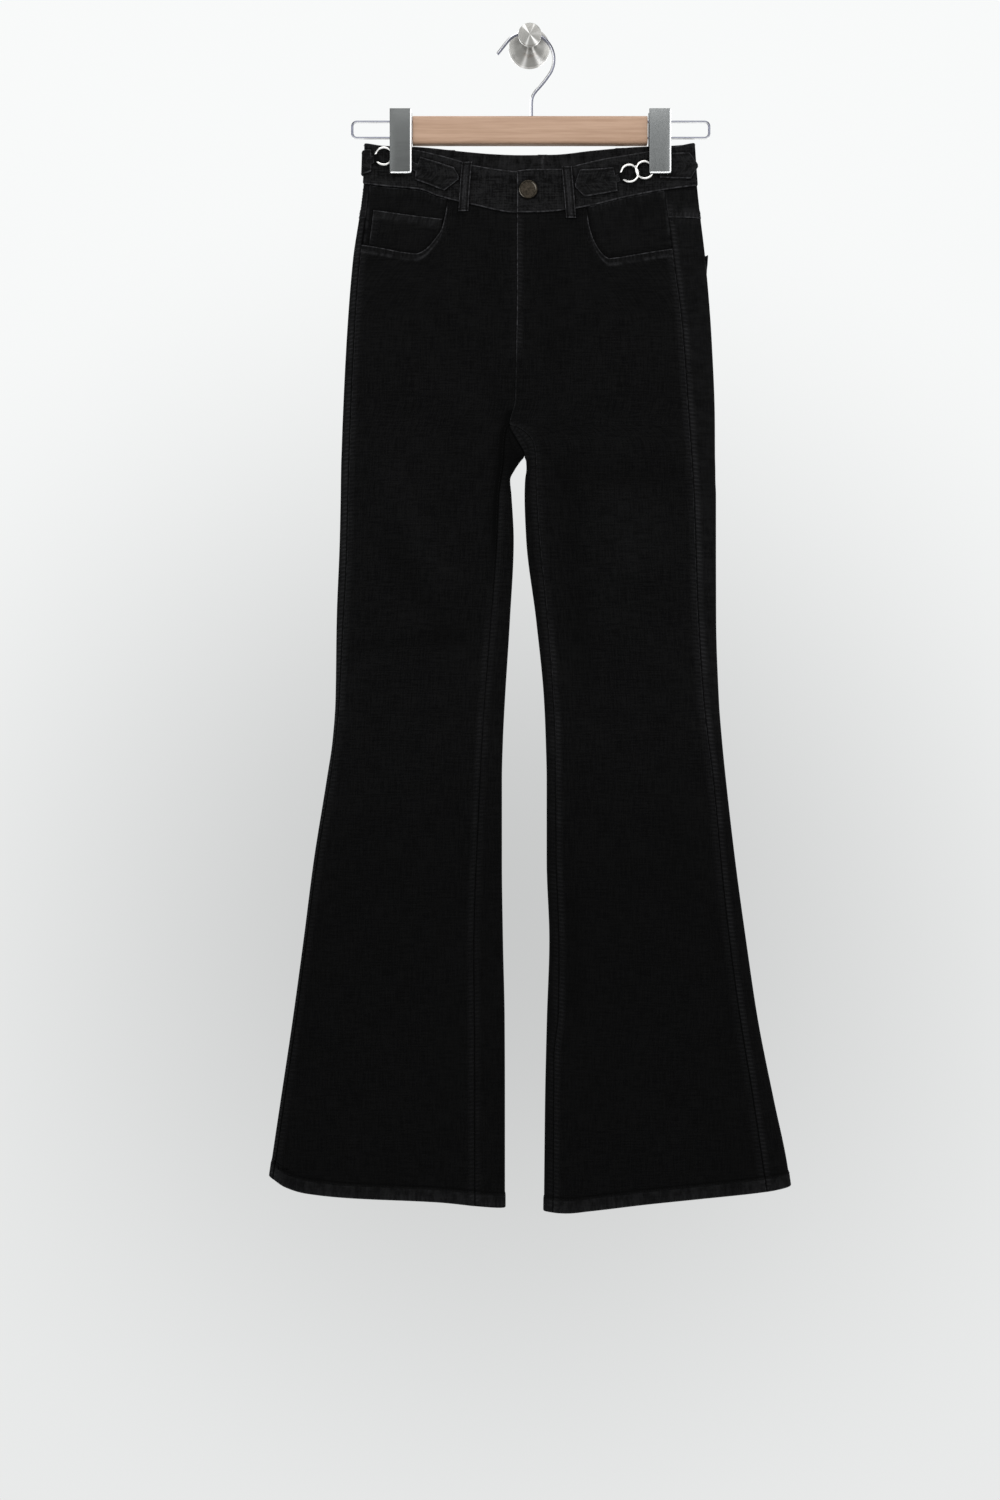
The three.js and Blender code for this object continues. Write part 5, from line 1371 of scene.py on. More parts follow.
def makeClip(name, material):
    c = clipCut
    x0, x1 = c["x"][name] - c["width"] / 2, c["x"][name] + c["width"] / 2
    gap = endWire["radius"] + form["layGap"]
    front, back = hangY + c["front"], hangY + c["back"]

    def plate(y):
        return roundedBox((x0, y, c["bottom"]), (x1, y + c["plate"], c["top"]), c["round"], c["round"], 4, 4)

    bridge = roundedBox((x0 + c["inset"], front - c["lap"], endWire["bottom"] + gap),
                        (x1 - c["inset"], back + c["lap"], endWire["top"] - gap), 1.0, 1.0, 4, 4)
    hardware("hangerClip" + name, [plate(front - c["plate"]), plate(back), bridge], material,
             ["hanger_clip_" + name.lower()])
    # The front plate's edge is rolled down one side and along the bottom, in near-white steel that paints its
    # highlight
    rollX, rollY, low = x1 - c["edge"] + c["rollOut"], front - c["plate"] / 2, c["bottom"] + 0.7
    corner = [(rollX, rollY, c["top"] - 0.3), (rollX, rollY, c["bottom"] + 3), (rollX, rollY, c["bottom"] + 1),
              (rollX - 2, rollY, low), (x0 + 0.8, rollY, low)]
    roll = tube(smoothLine(corner, 60), c["edge"], 16, 0.5)
    hardware("clipRoll" + name, [roll], rollHighlightSteel, [])


linkCut = {"radius": 9.0, "wire": 1.3, "lift": 4.4, "bar": (3.2, 13.0, 2.2), "barRound": 0.9,
           "right": {"inner": (-138.1, -128.4), "outer": (-154.0, -124.7)},
           "left": {"inner": (104.7, -143.2), "outer": (121.2, -139.2)}}


def unit(v):
    return v / np.linalg.norm(v)


def linkFrame(name):
    places, normals = [], []
    for end in ("inner", "outer"):
        p, n = skin(halves[name], -1.0, *linkCut[name][end])
        places.append(p + n * linkCut["lift"])
        normals.append(n)
    along = unit(places[1] - places[0])
    out = unit(normals[0] + normals[1])
    out = unit(out - along * np.dot(out, along))
    return places[0], places[1], along, out, unit(np.cross(out, along))


def makeLink(name):
    inner, outer, along, out, up = linkFrame(name)
    c = linkCut
    turns = np.linspace(0, 2 * math.pi, 18, endpoint=False)[:, None]

    def ring(centre):
        rings = []
        for a in np.linspace(0, 2 * math.pi, 64, endpoint=False):
            away = math.cos(a) * along + math.sin(a) * up
            rings.append(centre + away * (c["radius"] + c["wire"] * np.cos(turns))
                         + out * c["wire"] * np.sin(turns))
        return loft(rings, capped=False, closed=True)

    wide, tall, deep = c["bar"]
    points, faces = roundedBox((-tall / 2, -wide / 2, -deep / 2), (tall / 2, wide / 2, deep / 2),
                               c["barRound"], c["barRound"], 5, 4)
    joint = points @ np.array([up, along, out]) + (inner + outer) / 2
    hardware("link" + name.capitalize(), [ring(inner), ring(outer), (joint, faces)], silver,
             ["link_" + name])


# Waist tabs: face, x, in from the side fold, height, half height, lean of each section
tabCut = {"thick": 1.9, "halfHigh": 13.0, "neckWide": 8.0, "neckThick": 1.4, "neckLow": 0.2, "eyeCloth": 0.7,
          "edge": 1.1, "across": (26, 2.2), "step": 1.1, "row": (2.6, 0.7), "rowShade": -0.55}
tabs = {
    "FrontLeft": ("left", "inner", [(-1, 90, None, -149.4, 12.6, -0.17), (-1, 72.5, None, -152.6, 13.4, -0.17),
                                    (-1, 55, None, -155, 14.4, -0.17), (-1, 47.4, None, -157.4, 1.5, 0)]),
    "FrontRight": ("right", "inner", [(-1, -118.5, None, -136.9, 12, 0.25), (-1, -101, None, -143, 12, 0.36),
                                      (-1, -84.8, None, -149.6, 12.2, 0.43), (-1, -74.4, None, -148.6, 1.5, 0)]),
    "BackLeft": ("left", "outer", [(-1, 138, None, -134.4, 12.6, 0), (-1, None, 26, -134.2, 13.4, 0),
                                   (-1, None, 12, -134, 13.8, 0), (-1, None, 6.5, -133.8, 14, 0),
                                   (-1, None, 4, -133.6, 10, 0), (-1, None, 1, -133.4, 4, 0),
                                   (-1, None, 0.1, -133.4, 1.4, 0)]),
    "BackRight": ("right", "outer", [(-1, -167.6, None, -128.6, 11.4, 0), (-1, None, 4, -129.2, 12.4, 0),
                                     (-1, None, 1, -129.8, 12.6, 0), (1, None, 0, -130.2, 12.8, 0),
                                     (1, None, 1.3, -130.6, 12.9, 0), (1, None, 5, -131.2, 13, 0),
                                     (1, None, 13, -131.8, 13.2, 0), (1, None, 17, -132, 13.2, 0),
                                     (1, None, 24.5, -132, 1.5, 0)]),
}
tabLift = form["bandProud"] + form["layGap"] + tabCut["thick"]


def standsOn(half, point):
    # The place of the cloth under a point, and how far the point stands off it
    x, z, lift = point[0], point[2], 0.0
    for _ in range(6):
        p, n = skin(half, -1.0, x, z)
        lift = float(np.dot(point - p, n))
        over = p + n * lift
        x, z = x + point[0] - over[0], z + point[2] - over[2]
    return float(x), float(z), lift


def tabEye(name, ring, root):
    # The loop of cloth round a ring's wire, and where the tab leaves it
    half = halves[name]
    inner, outer, _, out, _ = linkFrame(name)
    centre = inner if ring == "inner" else outer
    p, n = skin(half, -1.0, root[1], root[3])
    towards = p + n * tabLift - centre
    towards = unit(towards - out * np.dot(towards, out))
    width = np.cross(towards, out)
    wireCentre = centre + towards * linkCut["radius"]
    sag = linkCut["radius"] - math.sqrt(linkCut["radius"] ** 2 - (tabCut["neckWide"] / 2) ** 2)
    long, high = linkCut["wire"] + sag / 2 + form["layGap"], linkCut["wire"] + form["layGap"]
    thick, wide = tabCut["eyeCloth"], tabCut["neckWide"] / 2
    ends = np.radians(np.linspace(-90, 90, 7))
    section = [(thick / 2 * (1 + math.sin(a)), wide - thick / 2 + thick / 2 * math.cos(a)) for a in ends]
    section += [(thick / 2 * (1 - math.sin(a)), -wide + thick / 2 - thick / 2 * math.cos(a)) for a in ends]
    rings = []
    for a in np.linspace(0, 2 * math.pi, 40, endpoint=False):
        rings.append([wireCentre + towards * (-sag / 2 + (long + q) * math.cos(a))
                      + out * (high + q) * math.sin(a) + width * w for q, w in section])
    leaves = wireCentre + towards * (long - sag / 2 + 0.1) - out * 0.1
    return outward(*loft(rings, capped=False, closed=True)), standsOn(half, leaves)


def tabPlace(half, x, inward, z, slant):
    # A section's x is given outright, with a slant, or in from the side fold
    return half["outer"](z) - half["side"] * inward if x is None else x + slant


def tabRows(half, leaf, sections):
    # Each row: face, x, z, lift, thick. The neck's rows come first, from the eye to the first section
    c, v = tabCut, 2 * stations(*tabCut["across"])[:, None] - 1
    leafX, leafZ, leafLift = leaf
    _, rootX, _, rootZ, _, rootLean = sections[0]
    rows = []
    for t in (0, 0.5, 0.9):
        off = v * c["neckWide"] / 2
        rows.append((-1, mix(leafX, rootX, t) + rootLean * off, mix(leafZ, rootZ, t) + off,
                     mix(leafLift, tabLift - c["neckLow"], t), c["neckThick"]))
    for face, x, inward, height, tall, lean in sections:
        z = height + v * tall
        rows.append((face, tabPlace(half, x, inward, z, lean * v * tall), z, tabLift, c["thick"]))
    return v, rows


def makeTab(name, halfName, ring, sections):
    half, c = halves[halfName], tabCut
    (eyePoints, eyeFaces), leaf = tabEye(halfName, ring, sections[0])
    v, rows = tabRows(half, leaf, sections)
    columns = []
    for first, second in zip(rows, rows[1:]):
        long = float(np.hypot(np.abs(second[1] - first[1]).max(), np.abs(second[2] - first[2]).max()))
        count = max(4, round(long / c["step"]))
        for i in range(count):
            columns.append((first[0], *[mix(a, b, i / count) for a, b in zip(first[1:], second[1:])]))
    columns.append(rows[-1])
    face, x, z, lift, thick = [np.concatenate([np.broadcast_to(np.asarray(value, float), v.shape)
                                               for value in values], 1) for values in zip(*columns)]
    # Painted shade along the stitched row inside the tab's edge
    row, wide = c["row"]
    grid = {"half": half, "face": face, "x": x, "z": z, "lift": lift, "thick": thick, "edge": c["edge"],
            "tone": c["rowShade"] * bell((1 - np.abs(v)) * c["halfHigh"] - row, wide) + 0 * x}
    node = "tab_" + ("front_" if name.startswith("Front") else "back_") + halfName
    piece = shell("tab" + name, [grid], c["thick"], denimTrim, nodes=[node])
    eye = meshOf("tabEye" + name, eyePoints, eyeFaces, denim, eyePoints[:, [0, 2]])
    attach(eye, "root")


# Profiles of turned pieces: radius, height
# bright is the way that the button's painted highlight faces
buttonCut = {"x": -1.6, "z": -161.8, "bright": (-0.71, -0.61, -0.35)}
buttonProfile = [
    (0.01, 0), (8.7, 0), (9.4, 0.25), (9.8, 0.8), (9.9, 1.4), (9.82, 1.9), (9.6, 2.35), (9.2, 2.7),
    (8.75, 2.82), (8.3, 2.72), (7.95, 2.4), (7.6, 2.12), (7.0, 2.02), (5.2, 2.1), (3.4, 2.3), (1.8, 2.5),
    (0.9, 2.56), (0.01, 2.58),
]
wallHookCut = {"coneFrom": 21.0, "low": 3.2, "high": 23, "neck": 6.15, "steps": 18}
flangeProfile = [(0.01, 0), (22.0, 0), (22.0, 2.0), (21.85, 2.6), (21.45, 3.05), (21.0, 3.2)]
knobProfile = [
    (6.15, 30), (6.15, 35.4), (6.45, 37), (7.25, 38.6), (8.55, 40.2), (10.15, 41.9), (11.4, 43.2), (12.0, 44),
    (12.2, 45), (12.2, 48.8), (12.08, 49.3), (11.7, 49.8), (11.0, 50), (0.01, 50),
]


def makeButton():
    p, n = skin(halves["left"], -1.0, buttonCut["x"], buttonCut["z"])
    x = unit(np.cross((1, 0, 0), n))
    origin = p + n * (form["bandProud"] + form["layGap"])
    turned = revolve(buttonProfile, origin, x, n, np.cross(x, n))
    paintedHighlightSide(hardware("waistButton", [turned], brass, ["waist_button"]), buttonCut["bright"])


def makeWallHook():
    w = wallHookCut
    cone = [(mix(w["coneFrom"], w["neck"], 1 - (1 - t) ** 2.6), mix(w["low"], w["high"], t**1.4))
            for t in np.linspace(0, 1, w["steps"])[1:]]
    turned = revolve(flangeProfile + cone + knobProfile, (0, 0, 0), (1, 0, 0), (0, -1, 0), (0, 0, 1), 96)
    hardware("wallHook", [turned], turnedSteel, ["wall_hook"], 30)


makeBar()
makeHook()
makeEndWire("Right", -1, bar["x0"], endWire["reach"][0])
makeEndWire("Left", 1, bar["x1"], endWire["reach"][1])
makeClip("Right", satinSteel)
makeClip("Left", brushedSteel)
for name in halves:
    makeLink(name)
for name, (halfName, ring, sections) in tabs.items():
    makeTab(name, halfName, ring, sections)
makeButton()
makeWallHook()
print("hardware made")

shown = bpy.data.objects
loopPieces = [shown["beltLoop" + name] for name in loops]
tabPieces = [shown["tab" + name] for name in tabs]
# Pieces that get painted shade, what lies on or over them, reach, strength
contacts = []
for side in ("Right", "Left"):
    contacts += [
        ("waistband" + side, loopPieces + tabPieces + [shown["waistButton"]], 2.2, 0.9),
        ("front" + side, loopPieces, 2.2, 1.1),
        ("pocketFacing" + side, [shown["front" + side]], 4.5, 0.9),
        ("back" + side, [shown["backPocket" + side]], 2.2, 1.0),
    ]
contacts += [
    ("coinPocket", [shown["frontRight"]], 4.0, 1.2), ("pocketFacingRight", [shown["coinPocket"]], 2.2, 1.0),
]
for name, others, reach, strength in contacts:
    contactShade(shown[name], others, reach, strength)
print("contact shade laid")


# Thread: lines on the cloth are put on the nearest surface, then each becomes a row of stitches
stitchCut = {"seam": {"Pitch": 3.1, "Length": 2.35, "Width": 0.46},
             "tack": {"Pitch": 1.6, "Length": 1.7, "Width": 0.4}, "jitter": (0.86, 1.1), "seed": 3,
             "standOff": 0.06, "castFrom": 7, "castReach": 12}


def dense(points, step=1.5):
    points = np.asarray(points, float)
    far = np.concatenate([[0], np.cumsum(np.linalg.norm(np.diff(points, axis=0), axis=1))])
    at = np.linspace(0, far[-1], max(2, round(far[-1] / step)))
    return np.stack([np.interp(at, far, points[:, k]) for k in range(points.shape[1])], -1)


def beside(points, off):
    # A line moved sideways in the plane of x and z
    points = np.asarray(points, float)
    along = np.gradient(points, axis=0)
    along /= np.linalg.norm(along, axis=1, keepdims=True)
    return points + off * np.stack([-along[:, 1], along[:, 0]], -1)


def laid(surface, half, face, places):
    # Casts each place onto the piece from outside
    c = stitchCut
    p, n = skin(halves[half], face, places[:, 0], places[:, 1])
    line = []
    for point, normal in zip(p, n):
        found = surface.ray_cast(Vector(point + normal * c["castFrom"]), Vector(-normal), c["castReach"])[0]
        if found is not None:
            line.append(np.array(found) + normal * c["standOff"])
    return line


def stitchNodes():
    group = bpy.data.node_groups.new("stitchRow", "GeometryNodeTree")
    group.interface.new_socket("Geometry", in_out="INPUT", socket_type="NodeSocketGeometry")
    for name in ("Pitch", "Length", "Width"):
        group.interface.new_socket(name, in_out="INPUT", socket_type="NodeSocketFloat")
    group.interface.new_socket("Seed", in_out="INPUT", socket_type="NodeSocketInt")
    group.interface.new_socket("Geometry", in_out="OUTPUT", socket_type="NodeSocketGeometry")
    nodes, links = group.nodes, group.links
    start, end = nodes.new("NodeGroupInput"), nodes.new("NodeGroupOutput")
    curve = nodes.new("GeometryNodeMeshToCurve")
    points = nodes.new("GeometryNodeCurveToPoints")
    points.mode = "LENGTH"
    ball = nodes.new("GeometryNodeMeshUVSphere")
    ball.inputs["Segments"].default_value = 6
    ball.inputs["Rings"].default_value = 5
    ball.inputs["Radius"].default_value = 0.5
    size = nodes.new("ShaderNodeCombineXYZ")
    jitter = nodes.new("FunctionNodeRandomValue")
    jitter.data_type = "FLOAT"
    jitter.inputs[2].default_value, jitter.inputs[3].default_value = stitchCut["jitter"]
    scale = nodes.new("ShaderNodeVectorMath")
    scale.operation = "SCALE"
    instances = nodes.new("GeometryNodeInstanceOnPoints")
    real = nodes.new("GeometryNodeRealizeInstances")
    shade = nodes.new("GeometryNodeSetShadeSmooth")
    paint = nodes.new("GeometryNodeSetMaterial")
    paint.inputs["Material"].default_value = thread
    for a, output, b, socket in [
        (start, "Geometry", curve, "Mesh"), (curve, "Curve", points, "Curve"),
        (start, "Pitch", points, "Length"), (start, "Width", size, "X"), (start, "Width", size, "Y"),
        (start, "Length", size, "Z"),
        (start, "Seed", jitter, "Seed"), (size, 0, scale, 0), (jitter, 1, scale, "Scale"),
        (points, "Points", instances, "Points"), (points, "Rotation", instances, "Rotation"),
        (ball, "Mesh", instances, "Instance"), (scale, 0, instances, "Scale"),
        (instances, "Instances", real, "Geometry"), (real, 0, shade, 0), (shade, 0, paint, "Geometry"),
        (paint, "Geometry", end, "Geometry"),
    ]:
        links.new(a.outputs[output], b.inputs[socket])
    return group


stitchGroup = stitchNodes()


def sew(name, lines, kind="seam"):
    points, edges = [], []
    for line in lines:
        if len(line) < 2:
            continue
        edges += [(len(points) + i, len(points) + i + 1) for i in range(len(line) - 1)]
        points += [tuple(p * millimetre) for p in line]
    mesh = bpy.data.meshes.new(name + "Line")
    mesh.from_pydata(points, edges, [])
    line = bpy.data.objects.new(name + "Line", mesh)
    scene.collection.objects.link(line)
    modifier = line.modifiers.new("stitches", "NODES")
    modifier.node_group = stitchGroup
    values = {key: size * millimetre for key, size in stitchCut[kind].items()}
    values["Seed"] = stitchCut["seed"]
    for item in stitchGroup.interface.items_tree:
        if item.in_out == "INPUT" and item.name in values:
            modifier[item.identifier] = values[item.name]
    sewn = bpy.data.meshes.new_from_object(line.evaluated_get(bpy.context.evaluated_depsgraph_get()))
    line.modifiers.remove(modifier)
    bpy.data.objects.remove(line)
    made = bpy.data.objects.new(name, sewn)
    scene.collection.objects.link(made)
    print(name, len(sewn.polygons), "faces")
    return finishPiece(made)


def mouthLine(name, off):
    half = halves[name]
    shares = np.linspace(mouthStart, 1, 120)
    z = mouthAt(half, shares)
    line = dense(np.stack([frontX(half, shares, z), z], -1), 1.0)
    line = beside(line, off * half["side"] * -1)
    belowBand = line[:, 1] < frontSeamZ(line[:, 0]) - 1.2
    insideSeam = np.abs(line[:, 0]) < np.abs(half["outseam"](line[:, 1])) - 1.2
    return line[belowBand & insideSeam]


def upright(xAt, top, bottom, step=2.0):
    z = np.linspace(top, bottom, max(3, int((top - bottom) / step)))
    return np.stack([xAt(z), z], -1)


def tack(x, z, wide, high, turn=0.0):
    # A bartack as close rows of thread round a middle
    rows = []
    for v in np.arange(-high / 2, high / 2 + 0.01, 0.42):
        ends = np.array([[-wide / 2, v], [wide / 2, v]])
        spin = np.array([[math.cos(turn), math.sin(turn)], [-math.sin(turn), math.cos(turn)]])
        rows.append(dense(ends @ spin + (x, z), 1.5))
    return rows


def hemTopAt(x):
    return hemZ(x) + form["hemHigh"]


def hemRow(x):
    return dense(np.stack([x, hemTopAt(x) - 1.6], -1))


# Heights of the front's rows, and the fly's curved stitching round its middle
flySewing = {"top": -187.5, "bottom": -406, "middle": (-13.3, -262), "reaches": (21.8, 16.8), "turn": 82,
             "tall": 12, "tacks": [(-9.4, -289, 7, 1.8, 1.2), (-11.0, -330, 5, 1.8, 1.57)]}


def sewFront(name):
    half, f = halves[name], flySewing
    side = half["side"]
    surface = surfaceOf(shown["front" + name.capitalize()])
    tacks = tack(frontX(half, 0.474, -181.0) - side * 5, -184.0 if name == "left" else -181.0, 5, 1.6, 1.3)
    rows = []
    for off in (1.5, 6.4):
        inseamEnd = hemTopAt(half["inseam"](form["hemMeanZ"])) + 1
        rows.append(upright(lambda z: frontX(half, 0.0, z) + side * off, forkZ - 4, inseamEnd))
        rows.append(mouthLine(name, off))
    if name == "left":
        for off in (1.5, 6.4):
            rows.append(upright(lambda z: frontX(half, 0.0, z) + off, f["top"], f["bottom"]))
        middleX, middleZ = f["middle"]
        turn = np.radians(np.linspace(0, f["turn"], 24))
        for reach in f["reaches"]:
            curve = [middleX + reach * np.cos(turn), middleZ - (reach + f["tall"]) * np.sin(turn)]
            straight = upright(lambda z: np.full(z.shape, middleX + reach), f["top"], middleZ + 1)
            rows.append(np.concatenate([straight, np.stack(curve, -1)]))
        for place in f["tacks"]:
            tacks += tack(*place)
    rows.append(hemRow(frontX(half, stations(170, 3)[3:-3], -1215.0)))
    sew("stitchesFront" + name.capitalize(), [laid(surface, name, -1.0, row) for row in rows])
    sew("tacksFront" + name.capitalize(), [laid(surface, name, -1.0, row) for row in tacks], "tack")


def seamRow(half, off, top, bottom):
    return upright(lambda z: half["outseam"](z) + half["side"] * (off + 0.15), top, bottom)


def centreRow(half, off, top, bottom):
    return upright(lambda z: innerX(half, 1.0, z) + half["side"] * (off + 0.15), top, bottom)


def sewBack(name):
    half = halves[name]
    side = half["side"]
    surface = surfaceOf(shown["back" + name.capitalize()])
    rows = []
    for off in (1.5, 6.2):
        rows.append((-1.0, seamRow(half, off, -191.5, -352)))
        if name == "left":
            rows.append((1.0, centreRow(half, off, -238.5, -432)))
    outer, inner, outseam, inseam = [half[key](-1215.0) for key in ("outer", "inner", "outseam", "inseam")]
    rows.append((1.0, hemRow(np.linspace(outer - side * 1, inner + side * 1, 150))))
    for a, b in ((outer, outseam), (inner, inseam)):
        toward = np.sign(b - a)
        rows.append((-1.0, hemRow(np.linspace(a + toward * 0.8, b - toward * 1.5, 30))))
    sew("stitchesBack" + name.capitalize(), [laid(surface, name, face, row) for face, row in rows])
    tacks = tack(half["outseam"](-354.0) + side * 4, -354.0, 7, 1.8)
    sew("tacksBack" + name.capitalize(), [laid(surface, name, -1.0, row) for row in tacks], "tack")


def alongStations(name, heights):
    # Lines that follow the back's stations at given heights, split at the fold
    half = halves[name]
    face, x = placeStations(backTable, half, backAnchors(half), heights)
    return [(side, np.stack([x[face == side], heights[face == side]], -1)[1:-1]) for side in (-1.0, 1.0)]


def sewYoke(name):
    half = halves[name]
    surface = surfaceOf(shown["yoke" + name.capitalize()])
    rows = []
    for off in (1.6, 6.4):
        seams = alongStations(name, yokeSeamAt(half) + off)
        rows += [(face, dense(line)) for face, line in seams if len(line) > 2]
        rows.append((-1.0, seamRow(half, off, -158, -187)))
        if name == "left":
            rows.append((1.0, centreRow(half, off, -163, -233)))
    sew("stitchesYoke" + name.capitalize(), [laid(surface, name, face, row) for face, row in rows])


bandSewing = {"left": -11.6, "right": -24.0, "fromTop": 2.2, "fromSeam": 2.0, "end": (-11.4, -143.6, -183.4)}


def sewBand(name):
    half, c = halves[name], bandSewing
    surface = surfaceOf(shown["waistband" + name.capitalize()])
    fold = half["outer"](-135.0) - half["side"] * 0.6
    rows = []
    for face, a, b in ((-1.0, c[name], fold), (1.0, fold, 14 + half["side"] * 2.2)):
        line = np.linspace(a, b, 120)
        rows.append((face, dense(np.stack([line, waistTopAt(face, line) - c["fromTop"]], -1))))
        rows.append((face, dense(np.stack([line, waistSeamAt(face, line) + c["fromSeam"]], -1))))
    if name == "left":
        x, top, bottom = c["end"]
        rows.append((-1.0, upright(lambda z: np.full(z.shape, x), top, bottom)))
    sew("stitchesBand" + name.capitalize(), [laid(surface, name, face, row) for face, row in rows])


def sewPocket(name):
    surface = surfaceOf(shown["backPocket" + name.capitalize()])
    wide, high = pocketCut["across"][0], pocketCut["down"][0]
    rows = []
    for inset in (1.6, 6.6):
        u, v = inset / wide, inset / high
        corners = [(u, 0.004), (u, 1 - v), (0.5, 1 - v * 1.1), (1 - u, 1 - v), (1 - u, 0.004)]
        path = dense(corners, 0.012)
        rows.append(np.stack(pocketPlace(name, path[:, 0], path[:, 1]), -1))
    for down in (0.013, 0.092):
        rows.append(np.stack(pocketPlace(name, np.linspace(0.02, 0.98, 90), np.full(90, down)), -1))
    sew("stitchesPocket" + name.capitalize(), [laid(surface, name, 1.0, dense(row)) for row in rows])
    tacks = []
    for across in (0.03, 0.97):
        tacks += tack(*pocketPlace(name, across, 0.03), 7, 1.8, 1.57)
    sew("tacksPocket" + name.capitalize(), [laid(surface, name, 1.0, row) for row in tacks], "tack")


def sewCoinPocket():
    surface, half, c = surfaceOf(shown["coinPocket"]), halves["right"], coinCut
    share = np.linspace(0.94, 0.5, 60)
    across = (c["from"] - share) / (c["from"] - c["to"])
    rows = []
    for off in (1.6, 8.6):
        z = mix(c["side"], c["inner"], across) - off
        rows.append(dense(np.stack([frontX(half, share, z), z], -1)))
    rows.append(upright(lambda z: frontX(half, 0.9, z), -184, -224))
    sew("stitchesCoin", [laid(surface, "right", -1.0, row) for row in rows])


def loopSewing(name, halfName, face, topX, bottomX):
    surface = surfaceOf(shown["beltLoop" + name])
    top, seam = [float(z) for z in loopEnds(face, topX, bottomX)]
    bottom = seam - loopCut["below"]
    lines = [dense([(topX + off, top - 1), (bottomX + off, bottom + 1)]) for off in (-3.4, 3.4)]
    tacks = tack(topX, top - 1.6, 8.6, 1.8) + tack(bottomX, bottom + 2.2, 8.6, 1.8)
    return [[laid(surface, halfName, face, row) for row in rows] for rows in (lines, tacks)]


def tabSewing(name, halfName, sections):
    surface, half, inset = surfaceOf(shown["tab" + name]), halves[halfName], 2.2
    lines, tacks = [], []
    for v in (1, -1):
        outline = {-1: [], 1: []}
        for face, x, inward, height, tall, lean in sections:
            z = height + v * max(0.2, tall - inset)
            place = tabPlace(half, x, inward, z, lean * v * (tall - inset))
            outline[face].append((float(place), z))
        for face, part in outline.items():
            if len(part) > 1:
                lines.append(laid(surface, halfName, float(face), dense(part)))
    _, x, _, height, tall, lean = sections[0]
    for v in (-0.72, 0.72):
        rows = tack(x + lean * v * tall, height + v * tall, 2.0, 2.4)
        tacks += [laid(surface, halfName, -1.0, row) for row in rows]
    return lines, tacks


def sewTrim():
    lines, tacks = [], []
    for name, row in loops.items():
        more, moreTacks = loopSewing(name, *row)
        lines += more
        tacks += moreTacks
    for name, (halfName, _, sections) in tabs.items():
        more, moreTacks = tabSewing(name, halfName, sections)
        lines += more
        tacks += moreTacks
    sew("stitchesTrim", lines)
    sew("tacksTrim", tacks, "tack")


for name in halves:
    sewFront(name)
    sewBack(name)
    sewYoke(name)
    sewBand(name)
    sewPocket(name)
sewCoinPocket()
sewTrim()
print("sewing made")


# Stage, lights and camera: the stage's lights and camera are in metres
stageCut = {"floorZ": -4000.0, "radius": 3000.0, "fade": (3.0, 1.5), "sides": 96,
            "colour": (0.82, 0.83, 0.83, 1)}


def makeFloor():
    # A pale disc that fades into the pale studio
    s, c = Shader("floor"), stageCut
    x, y, _ = s.axes(s.place())
    away = s.maths("SQRT", x * x + y * y)
    material = s.finish(Base_Color=c["colour"], Roughness=0.9, Alpha=s.ramp(away, *c["fade"]))
    turns, floor = np.linspace(0, 2 * math.pi, c["sides"], endpoint=False), np.full(c["sides"], c["floorZ"])
    rim = np.stack([np.cos(turns) * c["radius"], np.sin(turns) * c["radius"], floor], -1)
    meshOf("floor", rim, [tuple(range(c["sides"]))], material, smooth=False)


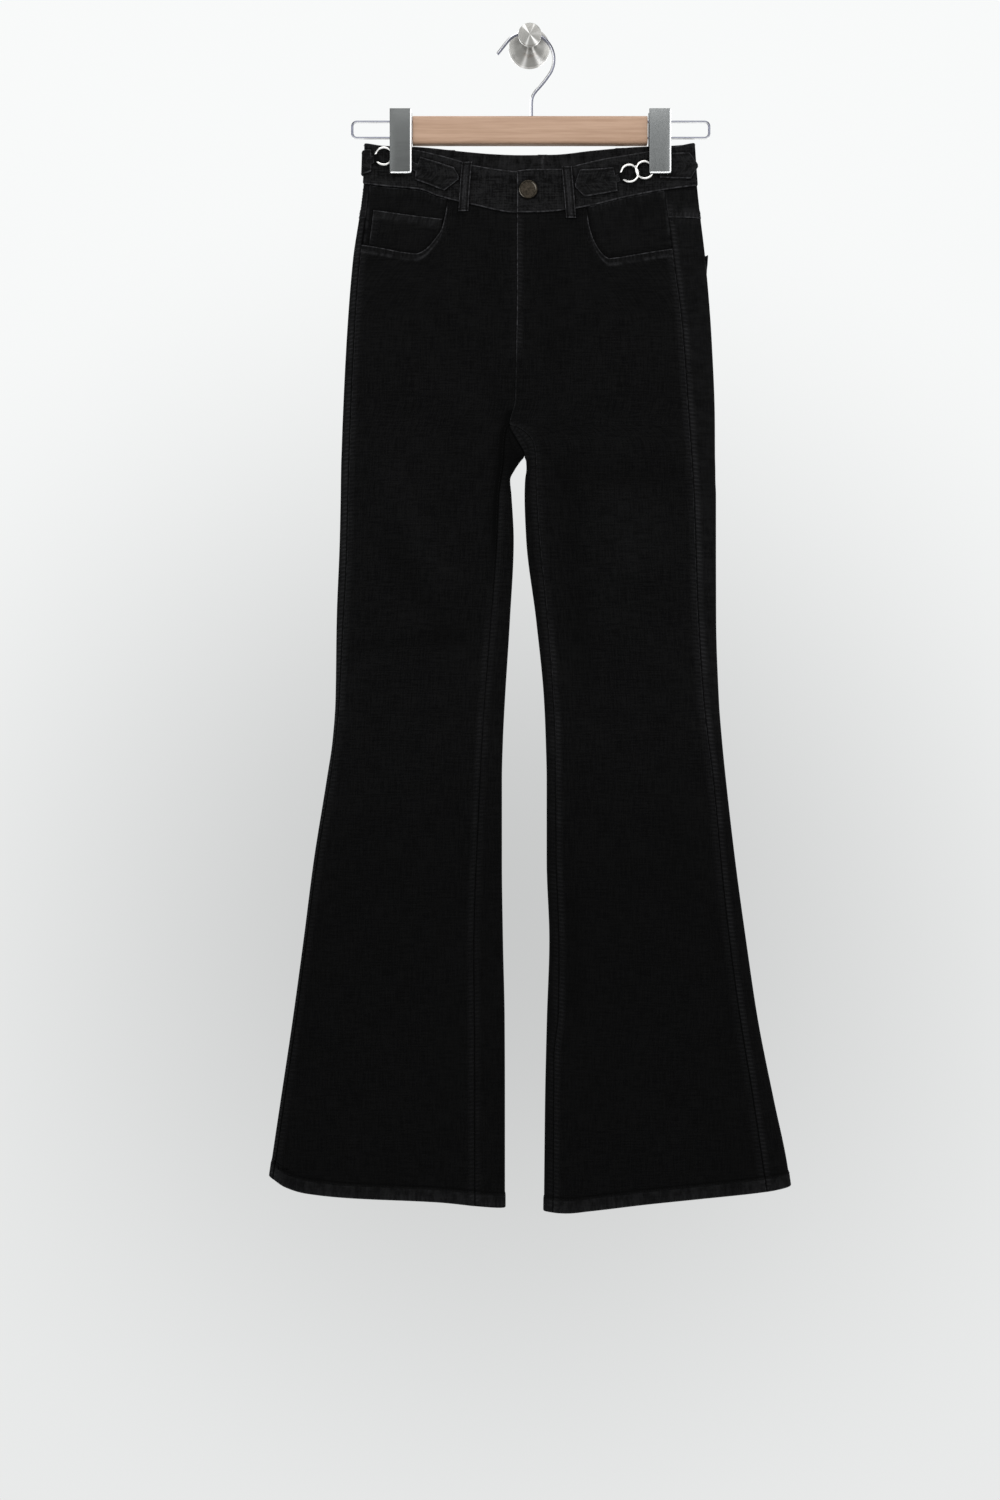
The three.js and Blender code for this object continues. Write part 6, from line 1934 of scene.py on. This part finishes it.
# name, place, target, size, watts, colour
softLights = [
    ("keyLeft", (-1.5, -2.75, 0.3), (0, 0, -0.5), (0.9, 1.4), 11, (0.98, 0.99, 1.0)),
    ("keyRight", (1.7, -2.7, 0.4), (0, 0, -0.5), (0.9, 1.4), 12.5, (1.0, 1.0, 0.99)),
    ("topFront", (0, -2.0, 1.5), (0, 0, -0.3), (1.8, 0.8), 15, (1, 1, 1)),
    ("backLeft", (-1.3, 2.9, 0.3), (0, 0, -0.6), (1.3, 1.8), 26, (1, 1, 1)),
    ("backRight", (1.5, 2.8, 0.1), (0, 0, -0.6), (1.3, 1.8), 21, (1, 1, 1)),
    ("overFloor", (0, 0.2, 1.9), (0, 0, -2), (2.4, 2.4), 9, (1, 1, 1)),
]


def softLight(name, place, target, size, power, colour):
    data = bpy.data.lights.new(name, "AREA")
    data.shape = "RECTANGLE"
    data.size, data.size_y = size
    data.energy = power
    data.color = colour
    light = bpy.data.objects.new(name, data)
    light.location = place
    light.rotation_euler = (Vector(target) - Vector(place)).to_track_quat("-Z", "Y").to_euler()
    light.visible_camera = False
    scene.collection.objects.link(light)


# A pale studio all round, a little dimmer behind the garment as a painted shadow of it, under a dark ceiling with
# a soft lamp in it
worldLook = {"near": 0.64, "far": 0.95, "middle": -0.06, "spread": 0.32, "low": 0.88, "high": 1.02, "level": 0.3,
             "ceilingFrom": (0.42, 0.56), "ceiling": 0.16, "lampFrom": (0.8, 0.92), "lamp": 1.6,
             "tint": (0.972, 0.984, 0.982, 1)}


def makeWorld():
    s, w = Shader("studio", world=True), worldLook
    x, _, z = s.axes(s.node("ShaderNodeTexCoord"))
    up = z - w["middle"]
    away = s.maths("SQRT", x * x + up * up)
    level = s.ramp(z, -w["level"], w["level"], w["low"], w["high"])
    around = s.ramp(away, 0.0, w["spread"], w["near"], w["far"]) * level
    above = s.ramp(z, *w["ceilingFrom"])
    ceiling = s.ramp(z, *w["lampFrom"]) * w["lamp"] + w["ceiling"]
    return s.finish(Color=w["tint"], Strength=around * (1 - above) + ceiling * above)


cameraCut = {"sensor": 36, "lens": 54.34, "place": (-0.0314, -2.428, -0.752)}


def makeCamera():
    data = bpy.data.cameras.new("photoCamera")
    data.sensor_fit = "VERTICAL"
    data.sensor_height = cameraCut["sensor"]
    data.lens = cameraCut["lens"]
    camera = bpy.data.objects.new("photoCamera", data)
    camera.location = cameraCut["place"]
    camera.rotation_euler = (math.pi / 2, 0, 0)
    scene.collection.objects.link(camera)
    scene.camera = camera


makeFloor()
for row in softLights:
    softLight(*row)
scene.world = makeWorld()
scene.view_settings.view_transform = "Standard"
makeCamera()
print("stage, lights and camera set")
